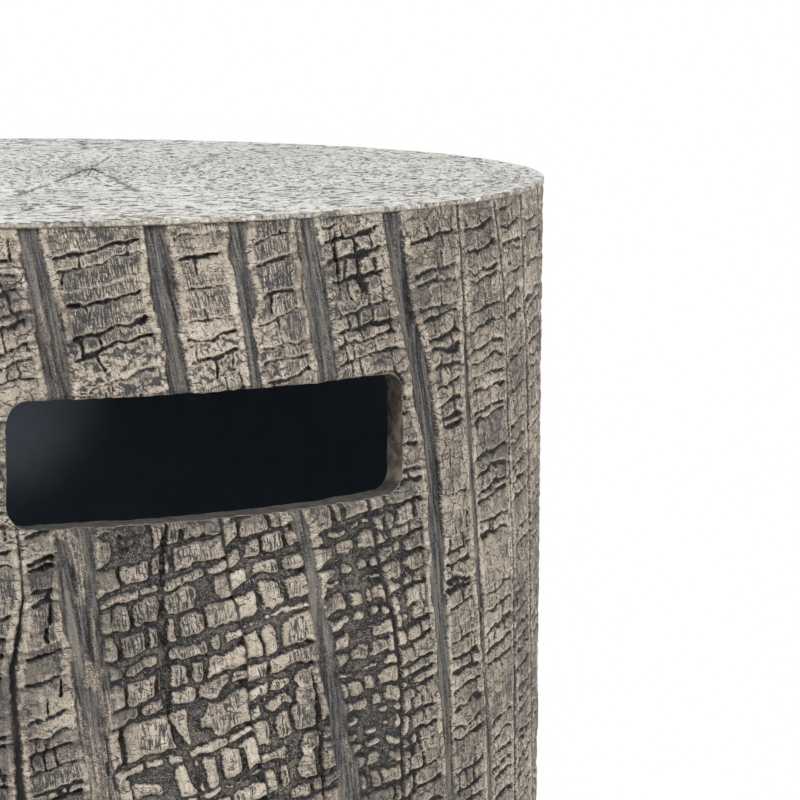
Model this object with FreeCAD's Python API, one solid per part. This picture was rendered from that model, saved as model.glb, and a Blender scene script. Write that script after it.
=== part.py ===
"""Cover table for a propane cylinder: a cast drum, open below, that looks like a charred log.

The frame has +Z up. The origin is on the floor, on the drum's axis. The two hand-holes face -Y and +Y.
All sizes are in millimetres.
"""

import FreeCAD
import Part

import math
import os

# Drum
OVERALL_DIAMETER = 400.0
OVERALL_HEIGHT = 510.0
WALL = 10.0

# Log furrows in the side. The gaps between them, in degrees, repeat until they go round the drum.
FURROW_GAPS = (11.2, 6.0, 7.2, 10.9, 7.4, 9.8, 7.0, 8.5, 7.5, 6.5, 8.0)
FURROW_START = 252.2
FURROW_WIDTH = 8.0
FURROW_DEPTH = 2.0
FURROW_BED_SHARE = 0.55
FURROW_SECTIONS = 5

# Grain of the log: every furrow leans this many degrees under the top, and stands upright lower down
GRAIN_LEAN = 11.5
GRAIN_UPRIGHT_BELOW_TOP = 260.0

# Each furrow also wanders by itself, in a long and a short wave, and swells and shrinks along its length
LONG_WAVE = 420.0
LONG_WANDER = 3.5
SHORT_WAVE = 240.0
SHORT_WANDER = 1.5
SWELL_WAVE = 330.0
SWELL_SHARE = 0.25
LONG_STEP = 2.4
SHORT_STEP = 1.1
SWELL_STEP = 1.7

# Main cracks that split each plate into blocks, under the hand-holes and at heights of the plate's own
PLATE_CRACK_COUNT = 4
PLATE_CRACK_WIDTH = 3.2
PLATE_CRACK_DEPTH = 1.6
PLATE_CRACK_RISE = 0.15
PLATE_CRACK_STAGGER = 0.618
PLATE_CRACK_MARGIN = 9.0

# Hand-holes, measured on the clear opening
HAND_HOLE_WIDTH = 132.0
HAND_HOLE_HEIGHT = 38.0
HAND_HOLE_CENTRE_BELOW_TOP = 71.0
HAND_HOLE_CORNER = 7.0
HAND_HOLE_CHAMFER = 2.5

# Table top: a slab whose thin lip lies on the wall and whose spigot drops inside it
LIP_THICKNESS = 2.0
TOP_CHAMFER = 0.8
SPIGOT_DEPTH = 12.0
BOND_GAP = 1.0
BOND_SETBACK = 3.0

# Growth rings and drying checks in the table top
RING_COUNT = 4
RING_SIDES = 36
RING_LOBES = 3
RING_WOBBLE = 1.6
RING_GROOVE_WIDTH = 1.8
RING_GROOVE_DEPTH = 0.8
RING_PLAIN_EDGE = 7.0
PITH_X = 46.5
PITH_Y = 3.5
CHECK_COUNT = 7
CHECK_LENGTH = 52.0
CHECK_VARIATION = 0.3
CHECK_SPREAD = 24.0
CHECK_WIDTH = 1.6
CHECK_DEPTH = 1.6
CHECK_START = 5.0

# Screws
SCREW_DIAMETER = 5.0
SCREW_CLEARANCE = 0.1
SCREW_END_GAP = 1.2
HEAD_OVERHANG = 2.0
HEAD_HEIGHT = 3.0
HEAD_CROWN = 1.5
HEAD_CLEARANCE = 0.5
HEAD_ABOVE_FLOOR = 1.8
DRIVE_ACROSS_FLATS = 3.0
DRIVE_DEPTH = 1.8
DRIVE_SIDES = 6

# Brass inserts that are cast into the foot ring
INSERT_WALL = 1.4
INSERT_LENGTH = 14.0
INSERT_FLANGE_WIDTH = 1.5
INSERT_FLANGE_THICKNESS = 1.2
INSERT_WAIST_DEPTH = 0.8
INSERT_WAIST_LENGTH = 5.0
INSERT_SIDES = 6

# Rubber feet, each with a moulded-in washer
FOOT_COUNT = 4
FOOT_NAMES = ("rear_right", "rear_left", "front_left", "front_right")
FOOT_WALL = 4.5
FOOT_FLARE = 1.5
FOOT_SIDES = 12
WASHER_OVERHANG = 2.0
WASHER_THICKNESS = 1.2
WASHER_COVER = 2.0
WASHER_SIDES = 8

# Thickened ring inside the foot of the wall, which holds the inserts
FOOT_RING_MARGIN = 3.0
FOOT_RING_COVER = 10.0
FOOT_RING_TAPER = 26.0

# How far a cutter reaches past the surface that it opens, and how near counts as touching
OVERCUT = 1.0
GROOVE_OVERCUT = 0.1
TOUCH = 0.01

# Screw and insert, worked out from the sizes above
SHANK_RADIUS = SCREW_DIAMETER / 2
SHANK_HOLE = SHANK_RADIUS + SCREW_CLEARANCE
HEAD_RADIUS = SHANK_RADIUS + HEAD_OVERHANG
INSERT_RADIUS = SHANK_HOLE + INSERT_WALL

# Feet, from the floor up
WASHER_RADIUS = HEAD_RADIUS + WASHER_OVERHANG
WASHER_SEAT = HEAD_ABOVE_FLOOR + HEAD_HEIGHT
WASHER_TOP = WASHER_SEAT + WASHER_THICKNESS
HEAD_WELL = HEAD_RADIUS + HEAD_CLEARANCE
FOOT_BOTTOM_RADIUS = HEAD_WELL + FOOT_WALL
FOOT_TOP_RADIUS = FOOT_BOTTOM_RADIUS + FOOT_FLARE

# Drum, from the feet up
RADIUS = OVERALL_DIAMETER / 2
BORE_RADIUS = RADIUS - WALL
SHELL_BOTTOM = WASHER_TOP + WASHER_COVER
SHELL_TOP = OVERALL_HEIGHT - LIP_THICKNESS
SHELL_HEIGHT = SHELL_TOP - SHELL_BOTTOM
INSERT_TOP = SHELL_BOTTOM + INSERT_LENGTH
FOOT_CIRCLE_RADIUS = RADIUS - FOOT_RING_MARGIN - FOOT_TOP_RADIUS
THROAT_RADIUS = FOOT_CIRCLE_RADIUS - FOOT_TOP_RADIUS - FOOT_RING_MARGIN
THROAT_TOP = INSERT_TOP + FOOT_RING_COVER
HAND_HOLE_Z = OVERALL_HEIGHT - HAND_HOLE_CENTRE_BELOW_TOP
SPIGOT_RADIUS = BORE_RADIUS - BOND_GAP
SPIGOT_BOTTOM = SHELL_TOP - SPIGOT_DEPTH
AXIS = FreeCAD.Vector(0, 0, 1)
ORIGIN = FreeCAD.Vector(0, 0, 0)


def polar(radius, angle, z=0.0):
    return FreeCAD.Vector(radius * math.cos(angle), radius * math.sin(angle), z)


def radius_of(place):
    return math.hypot(place.x, place.y)


def near(value, target):
    return abs(value - target) < TOUCH


def revolved(outline):
    """Solid of revolution about the Z axis, from (radius, z) corners."""
    corners = [FreeCAD.Vector(r, 0, z) for r, z in outline]
    wire = Part.makePolygon(corners + corners[:1])
    return Part.Face(wire).revolve(ORIGIN, AXIS, 360)


def edges_where(shape, test):
    """Edges whose two ends and middle all pass the test."""
    found = []
    for edge in shape.Edges:
        first, last = edge.ParameterRange
        samples = [edge.valueAt(value) for value in (first, (first + last) / 2, last)]
        if all(test(sample) for sample in samples):
            found.append(edge)
    return found


def furrow_tops():
    """Polar angles of the furrows at the top of the wall."""
    repeats = round(360 / sum(FURROW_GAPS))
    stretch = 360 / (repeats * sum(FURROW_GAPS))
    angle = FURROW_START
    angles = []
    for gap in FURROW_GAPS * repeats:
        angles.append(math.radians(angle))
        angle += gap * stretch
    return angles


def wave(below_top, length):
    return math.sin(2 * math.pi * below_top / length)


def furrow_shift(number, below_top):
    """How far along the surface a furrow has moved from its place at the top."""
    quarter_wave = 2 * GRAIN_UPRIGHT_BELOW_TOP / math.pi
    grain = math.tan(math.radians(GRAIN_LEAN)) * quarter_wave * math.sin(below_top / quarter_wave)
    long_wander = LONG_WANDER * math.sin(LONG_STEP * number) * wave(below_top, LONG_WAVE)
    short_wander = SHORT_WANDER * math.sin(SHORT_STEP * number) * wave(below_top, SHORT_WAVE)
    return grain + long_wander + short_wander


def furrow_corner(top, number, z, side, width_share, drop_share, sunk=0.0):
    """Corner of a furrow at one height. Side is -1 or 1, and the shares are of its width and depth there."""
    below_top = OVERALL_HEIGHT - z
    middle = top + furrow_shift(number, below_top) / RADIUS
    swell = 1 - SWELL_SHARE * (1 - math.sin(SWELL_STEP * number + 2 * math.pi * below_top / SWELL_WAVE))
    half_width = FURROW_WIDTH / 2 * swell * width_share
    drop = FURROW_DEPTH * swell * drop_share + sunk
    return polar(RADIUS - drop, middle + side * half_width / RADIUS, z)


def plate_rows(number):
    """Heights along a plate's edge and how far it is sunk there: its two ends, and its cracks' lips and beds."""
    lowest = SHELL_BOTTOM + PLATE_CRACK_MARGIN
    highest = HAND_HOLE_Z - HAND_HOLE_HEIGHT / 2 - PLATE_CRACK_MARGIN
    pitch = (highest - lowest) / PLATE_CRACK_COUNT
    stagger = PLATE_CRACK_STAGGER * number % 1
    rows = [(SHELL_BOTTOM, 0.0)]
    for crack in range(PLATE_CRACK_COUNT):
        middle = lowest + pitch * (crack + stagger)
        rows.append((middle - PLATE_CRACK_WIDTH / 2, 0.0))
        rows.append((middle, PLATE_CRACK_DEPTH))
        rows.append((middle + PLATE_CRACK_WIDTH / 2, 0.0))
    rows.append((SHELL_TOP, 0.0))
    return rows


def plate_edge(top, number, side, rows, rise):
    """Line of corners up the edge that a plate shares with a furrow, its cracks lifted by the rise."""
    foot, *cracks, head = rows
    lifted = [foot] + [(z + rise, sunk) for z, sunk in cracks] + [head]
    return [furrow_corner(top, number, z, side, 1.0, 0.0, sunk) for z, sunk in lifted]


def furrow_bed_edge(top, number, side):
    step = SHELL_HEIGHT / (FURROW_SECTIONS - 1)
    return [furrow_corner(top, number, SHELL_BOTTOM + step * section, side, FURROW_BED_SHARE, 1.0)
            for section in range(FURROW_SECTIONS)]


def laced(first, second):
    """Triangles between two lines of corners that run up side by side, as many or not."""
    triangles = []
    left, right = 0, 0
    while left + 1 < len(first) or right + 1 < len(second):
        left_is_lower = right + 1 == len(second) or (
            left + 1 < len(first) and first[left + 1].z <= second[right + 1].z)
        if left_is_lower:
            triangles.append([first[left], second[right], first[left + 1]])
            left += 1
        else:
            triangles.append([first[left], second[right], second[right + 1]])
            right += 1
    return triangles


def paired(first, second):
    """Triangles between two lines with as many corners each, joined corner to corner."""
    triangles = []
    for left, right, next_left, next_right in zip(first, second, first[1:], second[1:]):
        triangles.append([left, right, next_right])
        triangles.append([left, next_right, next_left])
    return triangles


def flat_faced(polygons):
    """Solid whose faces are flat, each given by its corners."""
    return Part.Solid(Part.Shell([Part.Face(Part.makePolygon(face + face[:1])) for face in polygons]))


def regular_outline(sides, flat_radius, z):
    """Corners of a regular polygon, from the distance of its flats."""
    corner_radius = flat_radius / math.cos(math.pi / sides)
    return [polar(corner_radius, 2 * math.pi * number / sides, z) for number in range(sides)]


def tapered_bar(sides, lower_radius, upper_radius, bottom, top):
    lower = regular_outline(sides, lower_radius, bottom)
    upper = regular_outline(sides, upper_radius, top)
    return flat_faced([lower, upper] + paired(lower + lower[:1], upper + upper[:1]))


def bar(sides, flat_radius, bottom, top):
    return tapered_bar(sides, flat_radius, flat_radius, bottom, top)


def log():
    """The furrowed and cracked outside of the drum, still solid."""
    tops = furrow_tops()
    plate_starts, plate_ends = [], []
    for number, top in enumerate(tops):
        follower = (number + 1) % len(tops)
        rows = plate_rows(number)
        rise = PLATE_CRACK_RISE * RADIUS * ((tops[follower] - top) % (2 * math.pi))
        plate_starts.append(plate_edge(top, number, 1, rows, 0.0))
        plate_ends.append(plate_edge(tops[follower], follower, -1, rows, rise))
    triangles = []
    lower_end, upper_end = [], []
    for number, top in enumerate(tops):
        bed_start = furrow_bed_edge(top, number, -1)
        bed_end = furrow_bed_edge(top, number, 1)
        lines = [plate_ends[number - 1], bed_start, bed_end, plate_starts[number]]
        for first, second in zip(lines, lines[1:]):
            triangles += laced(first, second)
        triangles += paired(plate_starts[number], plate_ends[number])
        lower_end += [line[0] for line in lines]
        upper_end += [line[-1] for line in lines]
    return flat_faced(triangles + [lower_end, upper_end])


def hand_hole_bar():
    """Rounded bar along Y, through both hand-holes."""
    length = OVERALL_DIAMETER + 2 * OVERCUT
    corner_place = FreeCAD.Vector(-HAND_HOLE_WIDTH / 2, -length / 2, HAND_HOLE_Z - HAND_HOLE_HEIGHT / 2)
    block = Part.makeBox(HAND_HOLE_WIDTH, length, HAND_HOLE_HEIGHT, corner_place)
    long_edges = [edge for edge in block.Edges if near(edge.Length, length)]
    return block.makeFillet(HAND_HOLE_CORNER, long_edges)


def hollow():
    """The space inside the wall: a plain bore over the taper and the narrower throat of the foot ring."""
    return revolved([
        (0, SHELL_BOTTOM - OVERCUT),
        (THROAT_RADIUS, SHELL_BOTTOM - OVERCUT),
        (THROAT_RADIUS, THROAT_TOP),
        (BORE_RADIUS, THROAT_TOP + FOOT_RING_TAPER),
        (BORE_RADIUS, SHELL_TOP + OVERCUT),
        (0, SHELL_TOP + OVERCUT),
    ])


def insert_body():
    """Brass insert before its bore: hexagonal bar with a flange, and a waist that the casting grips."""
    flange_top = SHELL_BOTTOM + INSERT_FLANGE_THICKNESS
    waist_bottom = (flange_top + INSERT_TOP - INSERT_WAIST_LENGTH) / 2
    waist_top = waist_bottom + INSERT_WAIST_LENGTH
    body = bar(INSERT_SIDES, INSERT_RADIUS + INSERT_FLANGE_WIDTH, SHELL_BOTTOM, flange_top)
    body = body.fuse(bar(INSERT_SIDES, INSERT_RADIUS, flange_top, waist_bottom))
    body = body.fuse(bar(INSERT_SIDES, INSERT_RADIUS - INSERT_WAIST_DEPTH, waist_bottom, waist_top))
    return body.fuse(bar(INSERT_SIDES, INSERT_RADIUS, waist_top, INSERT_TOP))


def at_feet(shape):
    """One copy of a shape at each foot, in the order of FOOT_NAMES."""
    copies = []
    for number in range(FOOT_COUNT):
        copy = shape.copy()
        copy.translate(polar(FOOT_CIRCLE_RADIUS, 2 * math.pi * (number + 0.5) / FOOT_COUNT))
        copies.append(copy)
    return copies


def side_shell():
    """The furrowed wall, with hand-holes eased on the inside and sockets for the inserts."""
    wall = log().cut(hollow()).cut(hand_hole_bar())

    def on_inner_mouth(place):
        inside_width = abs(place.x) < HAND_HOLE_WIDTH / 2 + TOUCH
        inside_height = abs(place.z - HAND_HOLE_Z) < HAND_HOLE_HEIGHT / 2 + TOUCH
        return inside_width and inside_height and near(radius_of(place), BORE_RADIUS)

    wall = wall.makeChamfer(HAND_HOLE_CHAMFER, edges_where(wall, on_inner_mouth))
    return wall.cut(at_feet(insert_body()))


def ring_groove(number):
    """A wavy growth ring: its centre moves from the pith to the drum's axis as the rings grow."""
    share = number / RING_COUNT
    radius = (RADIUS - RING_PLAIN_EDGE) * share

    def ring_line(offset, z):
        angles = [2 * math.pi * side / RING_SIDES for side in range(RING_SIDES)]
        corners = [polar(radius + offset + RING_WOBBLE * math.sin(RING_LOBES * angle + number), angle, z)
                   for angle in angles]
        return corners + corners[:1]

    mouth_inside = ring_line(-RING_GROOVE_WIDTH / 2, OVERALL_HEIGHT + GROOVE_OVERCUT)
    keel = ring_line(0.0, OVERALL_HEIGHT - RING_GROOVE_DEPTH)
    mouth_outside = ring_line(RING_GROOVE_WIDTH / 2, OVERALL_HEIGHT + GROOVE_OVERCUT)
    lines = [mouth_inside, keel, mouth_outside, mouth_inside]
    groove = flat_faced([face for first, second in zip(lines, lines[1:]) for face in paired(first, second)])
    groove.translate(FreeCAD.Vector(PITH_X * (1 - share), PITH_Y * (1 - share), 0))
    return groove


def drying_check(number):
    """A wedge-shaped crack that runs outwards from the pith and narrows to nothing."""
    length = CHECK_LENGTH * (1 - CHECK_VARIATION * (1 - math.cos(2 * number)))
    mouth_z = OVERALL_HEIGHT + GROOVE_OVERCUT
    mouth = [
        FreeCAD.Vector(CHECK_START, -CHECK_WIDTH / 2, mouth_z),
        FreeCAD.Vector(CHECK_START, CHECK_WIDTH / 2, mouth_z),
        FreeCAD.Vector(CHECK_START + length, 0, mouth_z),
    ]
    keel = FreeCAD.Vector(CHECK_START, 0, OVERALL_HEIGHT - CHECK_DEPTH)
    sides = [[first, second, keel] for first, second in zip(mouth, mouth[1:] + mouth[:1])]
    crack = flat_faced([mouth] + sides)
    crack.rotate(ORIGIN, AXIS, 360 / CHECK_COUNT * number + CHECK_SPREAD * math.sin(3 * number))
    crack.translate(FreeCAD.Vector(PITH_X, PITH_Y, 0))
    return crack


def table_top():
    slab = revolved([
        (0, SPIGOT_BOTTOM),
        (SPIGOT_RADIUS, SPIGOT_BOTTOM),
        (SPIGOT_RADIUS, SHELL_TOP),
        (RADIUS, SHELL_TOP),
        (RADIUS, OVERALL_HEIGHT - TOP_CHAMFER),
        (RADIUS - TOP_CHAMFER, OVERALL_HEIGHT),
        (0, OVERALL_HEIGHT),
    ])
    for number in range(1, RING_COUNT + 1):
        slab = slab.cut(ring_groove(number))
    for number in range(CHECK_COUNT):
        slab = slab.cut(drying_check(number))
    return slab


def top_bond_ring():
    """Bead of adhesive between the spigot and the bore, under the lip."""
    bead_bottom = SPIGOT_BOTTOM + BOND_SETBACK
    return revolved([
        (SPIGOT_RADIUS, bead_bottom),
        (BORE_RADIUS, bead_bottom),
        (BORE_RADIUS, SHELL_TOP),
        (SPIGOT_RADIUS, SHELL_TOP),
    ])


def rim_inserts():
    bore = Part.makeCylinder(SHANK_HOLE, INSERT_LENGTH, FreeCAD.Vector(0, 0, SHELL_BOTTOM))
    return Part.Compound(at_feet(insert_body().cut(bore)))


def washer_body():
    return bar(WASHER_SIDES, WASHER_RADIUS, WASHER_SEAT, WASHER_TOP)


def foot_washer():
    """Steel washer moulded into the foot, which keeps the screw's head from pulling through."""
    bore = Part.makeCylinder(SHANK_HOLE, WASHER_THICKNESS, FreeCAD.Vector(0, 0, WASHER_SEAT))
    return washer_body().cut(bore)


def rubber_foot():
    """Tapered bumper with grip flats, over its washer, hollowed from below for the screw's head."""
    body = tapered_bar(FOOT_SIDES, FOOT_BOTTOM_RADIUS, FOOT_TOP_RADIUS, 0, SHELL_BOTTOM)
    head_well = Part.makeCylinder(HEAD_WELL, WASHER_SEAT)
    shank_hole = Part.makeCylinder(SHANK_HOLE, SHELL_BOTTOM)
    return body.cut([head_well, shank_hole, washer_body()])


def foot_screw():
    """Button-head screw with a hexagonal drive recess. Its head bears on the washer."""
    tip = INSERT_TOP - SCREW_END_GAP
    screw = revolved([
        (0, HEAD_ABOVE_FLOOR),
        (HEAD_RADIUS - HEAD_CROWN, HEAD_ABOVE_FLOOR),
        (HEAD_RADIUS, WASHER_SEAT),
        (SHANK_RADIUS, WASHER_SEAT),
        (SHANK_RADIUS, tip),
        (0, tip),
    ])
    drive_end = HEAD_ABOVE_FLOOR + DRIVE_DEPTH
    return screw.cut(bar(DRIVE_SIDES, DRIVE_ACROSS_FLATS / 2, HEAD_ABOVE_FLOOR, drive_end))


def save(name, shape):
    shape.exportStep(os.path.join("parts", name + ".step"))
    print(name, "valid" if shape.isValid() else "NOT VALID", "solids", len(shape.Solids),
          "volume in cubic centimetres", round(shape.Volume / 1000, 2))


def main():
    os.makedirs("parts", exist_ok=True)
    save("side_shell", side_shell())
    save("table_top", table_top())
    save("top_bond_ring", top_bond_ring())
    save("rim_inserts", rim_inserts())
    save("foot_screws", Part.Compound(at_feet(foot_screw())))
    save("foot_washers", Part.Compound(at_feet(foot_washer())))
    for name, foot in zip(FOOT_NAMES, at_feet(rubber_foot())):
        save("rubber_foot_" + name, foot)


main()
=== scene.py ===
"""The looks of the cover table: a cast drum that hides a gas cylinder and looks like a charred log.

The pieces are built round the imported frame, in metres. The carving is worked out in millimetres: "across"
runs along the drum's face, counter-clockwise seen from above, from the line that faces the camera. "Down"
runs down from the table's top. Each noise is given the width and height of its lumps, in millimetres, and a
draw, which is the number of its pattern. A gap is how far outside a crack or furrow a place is, and is
negative inside it.
"""

import math

import bpy
import numpy as np
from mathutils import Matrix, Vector


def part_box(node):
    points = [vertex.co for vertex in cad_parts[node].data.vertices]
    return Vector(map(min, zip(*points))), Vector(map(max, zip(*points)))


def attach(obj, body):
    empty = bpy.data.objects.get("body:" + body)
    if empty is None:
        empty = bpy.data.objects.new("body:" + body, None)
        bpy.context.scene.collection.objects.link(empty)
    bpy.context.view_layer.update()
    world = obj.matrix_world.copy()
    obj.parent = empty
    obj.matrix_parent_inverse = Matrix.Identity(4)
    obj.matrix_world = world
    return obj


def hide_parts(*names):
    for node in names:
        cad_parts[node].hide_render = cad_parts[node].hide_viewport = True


bl_info = {
    "name": "Charred Log Cover Table",
    "version": (1, 0, 0),
    "blender": (4, 5, 0),
    "location": "View3D > Sidebar > Cover Table",
    "description": "Dresses the drum of a gas cylinder cover as a charred log with a ringed top",
    "category": "Add Mesh",
}

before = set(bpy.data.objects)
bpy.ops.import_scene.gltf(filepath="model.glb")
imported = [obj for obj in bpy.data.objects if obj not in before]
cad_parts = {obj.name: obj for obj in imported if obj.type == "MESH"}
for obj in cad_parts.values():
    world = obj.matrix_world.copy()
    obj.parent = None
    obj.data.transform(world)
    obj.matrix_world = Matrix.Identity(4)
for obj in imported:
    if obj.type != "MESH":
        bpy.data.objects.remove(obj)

MM = 0.001
PER_MM = 1000.0

# Drum, read from the frame, in millimetres
TOP_LOW, TOP_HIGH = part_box("table_top")
WALL_LOW, WALL_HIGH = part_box("side_shell")
HEIGHT = TOP_HIGH.z / MM
RADIUS = TOP_HIGH.x / MM
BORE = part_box("top_bond_ring")[1].x / MM
SPIGOT_BOTTOM = TOP_LOW.z / MM
LIP = HEIGHT - WALL_HIGH.z / MM
FOOT = HEIGHT - WALL_LOW.z / MM
INSERT_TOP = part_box("rim_inserts")[1].z / MM
CIRCUMFERENCE = 2 * math.pi * RADIUS

# Line on the drum that faces the camera, where "across" starts
FACING = math.radians(249.05)

# Furrows of the log, laid out as in the solid wall
FURROW_GAPS = (11.2, 6.0, 7.2, 10.9, 7.4, 9.8, 7.0, 8.5, 7.5, 6.5, 8.0)
FURROW_START = 252.2
GRAIN_LEAN = 11.5
GRAIN_UPRIGHT_BELOW_TOP = 260.0
LONG_WAVE = 420.0
LONG_WANDER = 3.5
SHORT_WAVE = 240.0
SHORT_WANDER = 1.5
SWELL_WAVE = 330.0
SWELL_SHARE = 0.25
LONG_STEP = 2.4
SHORT_STEP = 1.1
SWELL_STEP = 1.7

# How the front furrows differ from the solid's: drift across, share of the width, blackness and patchiness,
# each at all of these depths or as one number for the whole furrow
HABIT_DEPTHS = (0, 16, 36, 50, 78, 92, 110, 130, 150, 175, 200, 250, 330)
FURROW_HABITS = {
    43: ((0, 0, 0, 0, 6.5, 6.5, 4.5, -2, -4, -5, -5, -3, 0),
         (1.1, 1.1, 1.1, 1.1, 0.2, 0.15, 0.15, 0.3, 0.35, 0.35, 0.35, 0.6, 1),
         (0, 0, 0, 0, 1, 1, 1, 1, 1, 1, 1, 0.5, 0),
         0),
    0: ((1.4, 1, 0.5, 0, -2, -3, -5, -6.5, -7.2, -7.5, -7, -4, 0),
        (1.2, 1.2, 1.2, 1.1, 1.1, 1.4, 1.5, 1.5, 1.5, 1.5, 1.4, 1.1, 1),
        0,
        (0.1, 0.2, 0.2, 0.2, 1, 1, 1, 1, 1, 1, 1, 0.4, 0)),
    1: ((0, -2.3, -5, -5.7, -2, -0.5, -0.5, 3, 2, 6.5, 8, 5, 0),
        (0.85, 0.9, 0.95, 0.95, 0.3, 0.2, 0.2, 0.2, 0.2, 0.2, 0.2, 0.6, 1),
        (0, 0, 0, 0, 1, 1, 1, 1, 1, 1, 1, 0.4, 0),
        0),
    2: ((4.4, 3.7, 2.6, 2.4, 8, 11, 13.5, 15.6, 17.6, 19.5, 20, 13, 0),
        (1.2, 1.2, 1.2, 1.2, 1, 1, 1.15, 1.3, 1.3, 1.3, 1.3, 1.1, 1),
        0,
        (0, 0, 0, 0, 0, 0.25, 0.35, 0.35, 0.35, 0.35, 0.2, 0, 0)),
    3: ((2.3, 1.6, 0.8, 0.4, 6, 9, 10, 14, 15, 14, 13, 8, 0),
        (1.65, 1.65, 1.5, 1.3, 0.4, 0.3, 0.3, 0.3, 0.3, 0.3, 0.3, 0.6, 1),
        (0, 0, 0, 0, 1, 1, 1, 1, 1, 1, 1, 0.4, 0),
        (0.3, 0.45, 0.45, 0.3, 0, 0, 0, 0, 0, 0, 0, 0, 0)),
    4: ((-0.7, 1.2, 2.3, 5, 7.8, 6.5, 4.5, 2.5, 1.5, 0.5, 0, 0, 0),
        (1.1, 1.1, 1.1, 1.1, 1, 1, 1.1, 1.15, 1.15, 1.15, 1.15, 1.1, 1),
        0,
        (0.35, 0.3, 0.2, 0.1, 0.1, 0.1, 0.1, 0, 0, 0, 0, 0, 0)),
    5: ((8, 8.5, 8, 7, 5, 4, 3.5, 3, 2.5, 2.5, 2.5, 2, 0),
        (0.2, 0.2, 0.25, 0.4, 0.6, 0.7, 0.7, 0.7, 0.7, 0.7, 0.7, 0.9, 1),
        (0.5, 0.5, 0.4, 0.2, 0, 0, 0, 0, 0, 0, 0, 0, 0),
        (0, 0, 0, 0, 0.4, 0.4, 0.4, 0.4, 0.4, 0.4, 0.4, 0.2, 0)),
    6: ((-1.4, -0.5, 0, -2, -5, -6, -6, -6, -6, -6, -6, -3, 0),
        (0.3, 0.3, 0.3, 0.3, 0.3, 0.35, 0.35, 0.35, 0.4, 0.4, 0.4, 0.7, 1),
        (0.6, 0.6, 0.6, 0.6, 0.6, 0.5, 0.5, 0.4, 0.4, 0.4, 0.4, 0.2, 0),
        0),
    7: (0,
        (0.5, 0.5, 0.5, 0.5, 0.5, 0.5, 0.5, 0.5, 0.5, 0.5, 0.5, 0.8, 1),
        0,
        (0.4, 0.4, 0.4, 0.4, 0.4, 0.4, 0.4, 0.4, 0.4, 0.4, 0.4, 0.2, 0)),
}
PLAIN_HABIT = (0, 1, 0, 0)

# Long splits on the front, each from (across, down) to (across, down), with its half width, and how long
# their ends taper
SPLIT_TAPER = 8.0
SPLITS = (
    ((52.8, 89.0), (50.4, 116.0), 1.2),
    ((50.4, 112.0), (54.0, 151.0), 1.9),
    ((54.0, 149.0), (65.2, 176.0), 1.7),
    ((65.2, 174.0), (72.0, 215.0), 1.2),
    ((104.0, 148.0), (108.2, 186.0), 0.6),
    ((37.9, 90.0), (38.4, 108.0), 0.4),
    ((90.8, 90.0), (91.5, 98.0), 0.4),
    ((109.8, 3.5), (113.7, 26.0), 0.55),
    ((118.5, 6.0), (121.8, 28.0), 0.45),
    ((206.0, 5.0), (208.0, 46.0), 0.55),
    ((150.0, 100.0), (154.0, 132.0), 0.5),
    ((1.0, 96.0), (3.0, 118.0), 0.35),
)

# Blocks and cross cracks: strips whose blocks under the hand-hole are bigger and by how much, the share of
# worn blocks that broke off, the draws from which a crack shows and is a bold one, and the gap for no crack
BIG_BLOCKS = {0: 1.4, 1: 1.3}
LOST_BLOCKS = 0.14
CRACKS_FROM = 0.12
BOLD_FROM = 0.6
NO_CRACK = 9.0

# Half widths of a cross crack between whole plates: hidden, thin, what a bold one has more, and how far each
# comes and goes along its length
HIDDEN_CRACK = -1.2
THIN_CRACK = 0.33
BOLD_EXTRA = 0.16
CRACK_DRIFT = 0.28

# Furrows: how far fibres and slivers stand in their beds, and how soft their edges are
FIBRE_HEIGHT = 0.22
SLIVER_HEIGHT = 0.9
FURROW_EDGE = 0.9

# Limits of the carved depth, and ranges in which the bark's material reads its two gaps
CARVED_DEPTHS = (0.02, 3.4)
GAP_RANGE = (-3.0, 4.0)
EDGE_RANGE = (-5.0, 5.0)

# Steps through the noise from a furrow or strip to the next, so that no two look alike
FURROW_NOISE_STEP = 300.0
STRIP_NOISE_STEP = 7.3

# Hand-holes, measured on the clear opening
HAND_HOLE_WIDTH = 132.0
HAND_HOLE_HEIGHT = 38.0
HAND_HOLE_CENTRE = 71.0
HAND_HOLE_CORNER = 7.0
BROKEN_EDGE = 1.8
BROKEN_DEPTH = 0.9

# Bar that cuts a hand-hole: its middle's depth in the wall, half its length, and its mesh
CUTTER_INSET = 8.0
CUTTER_REACH = 17.0
CUTTER_GRID = 1.1
CUTTER_SEGMENTS = 8

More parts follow.
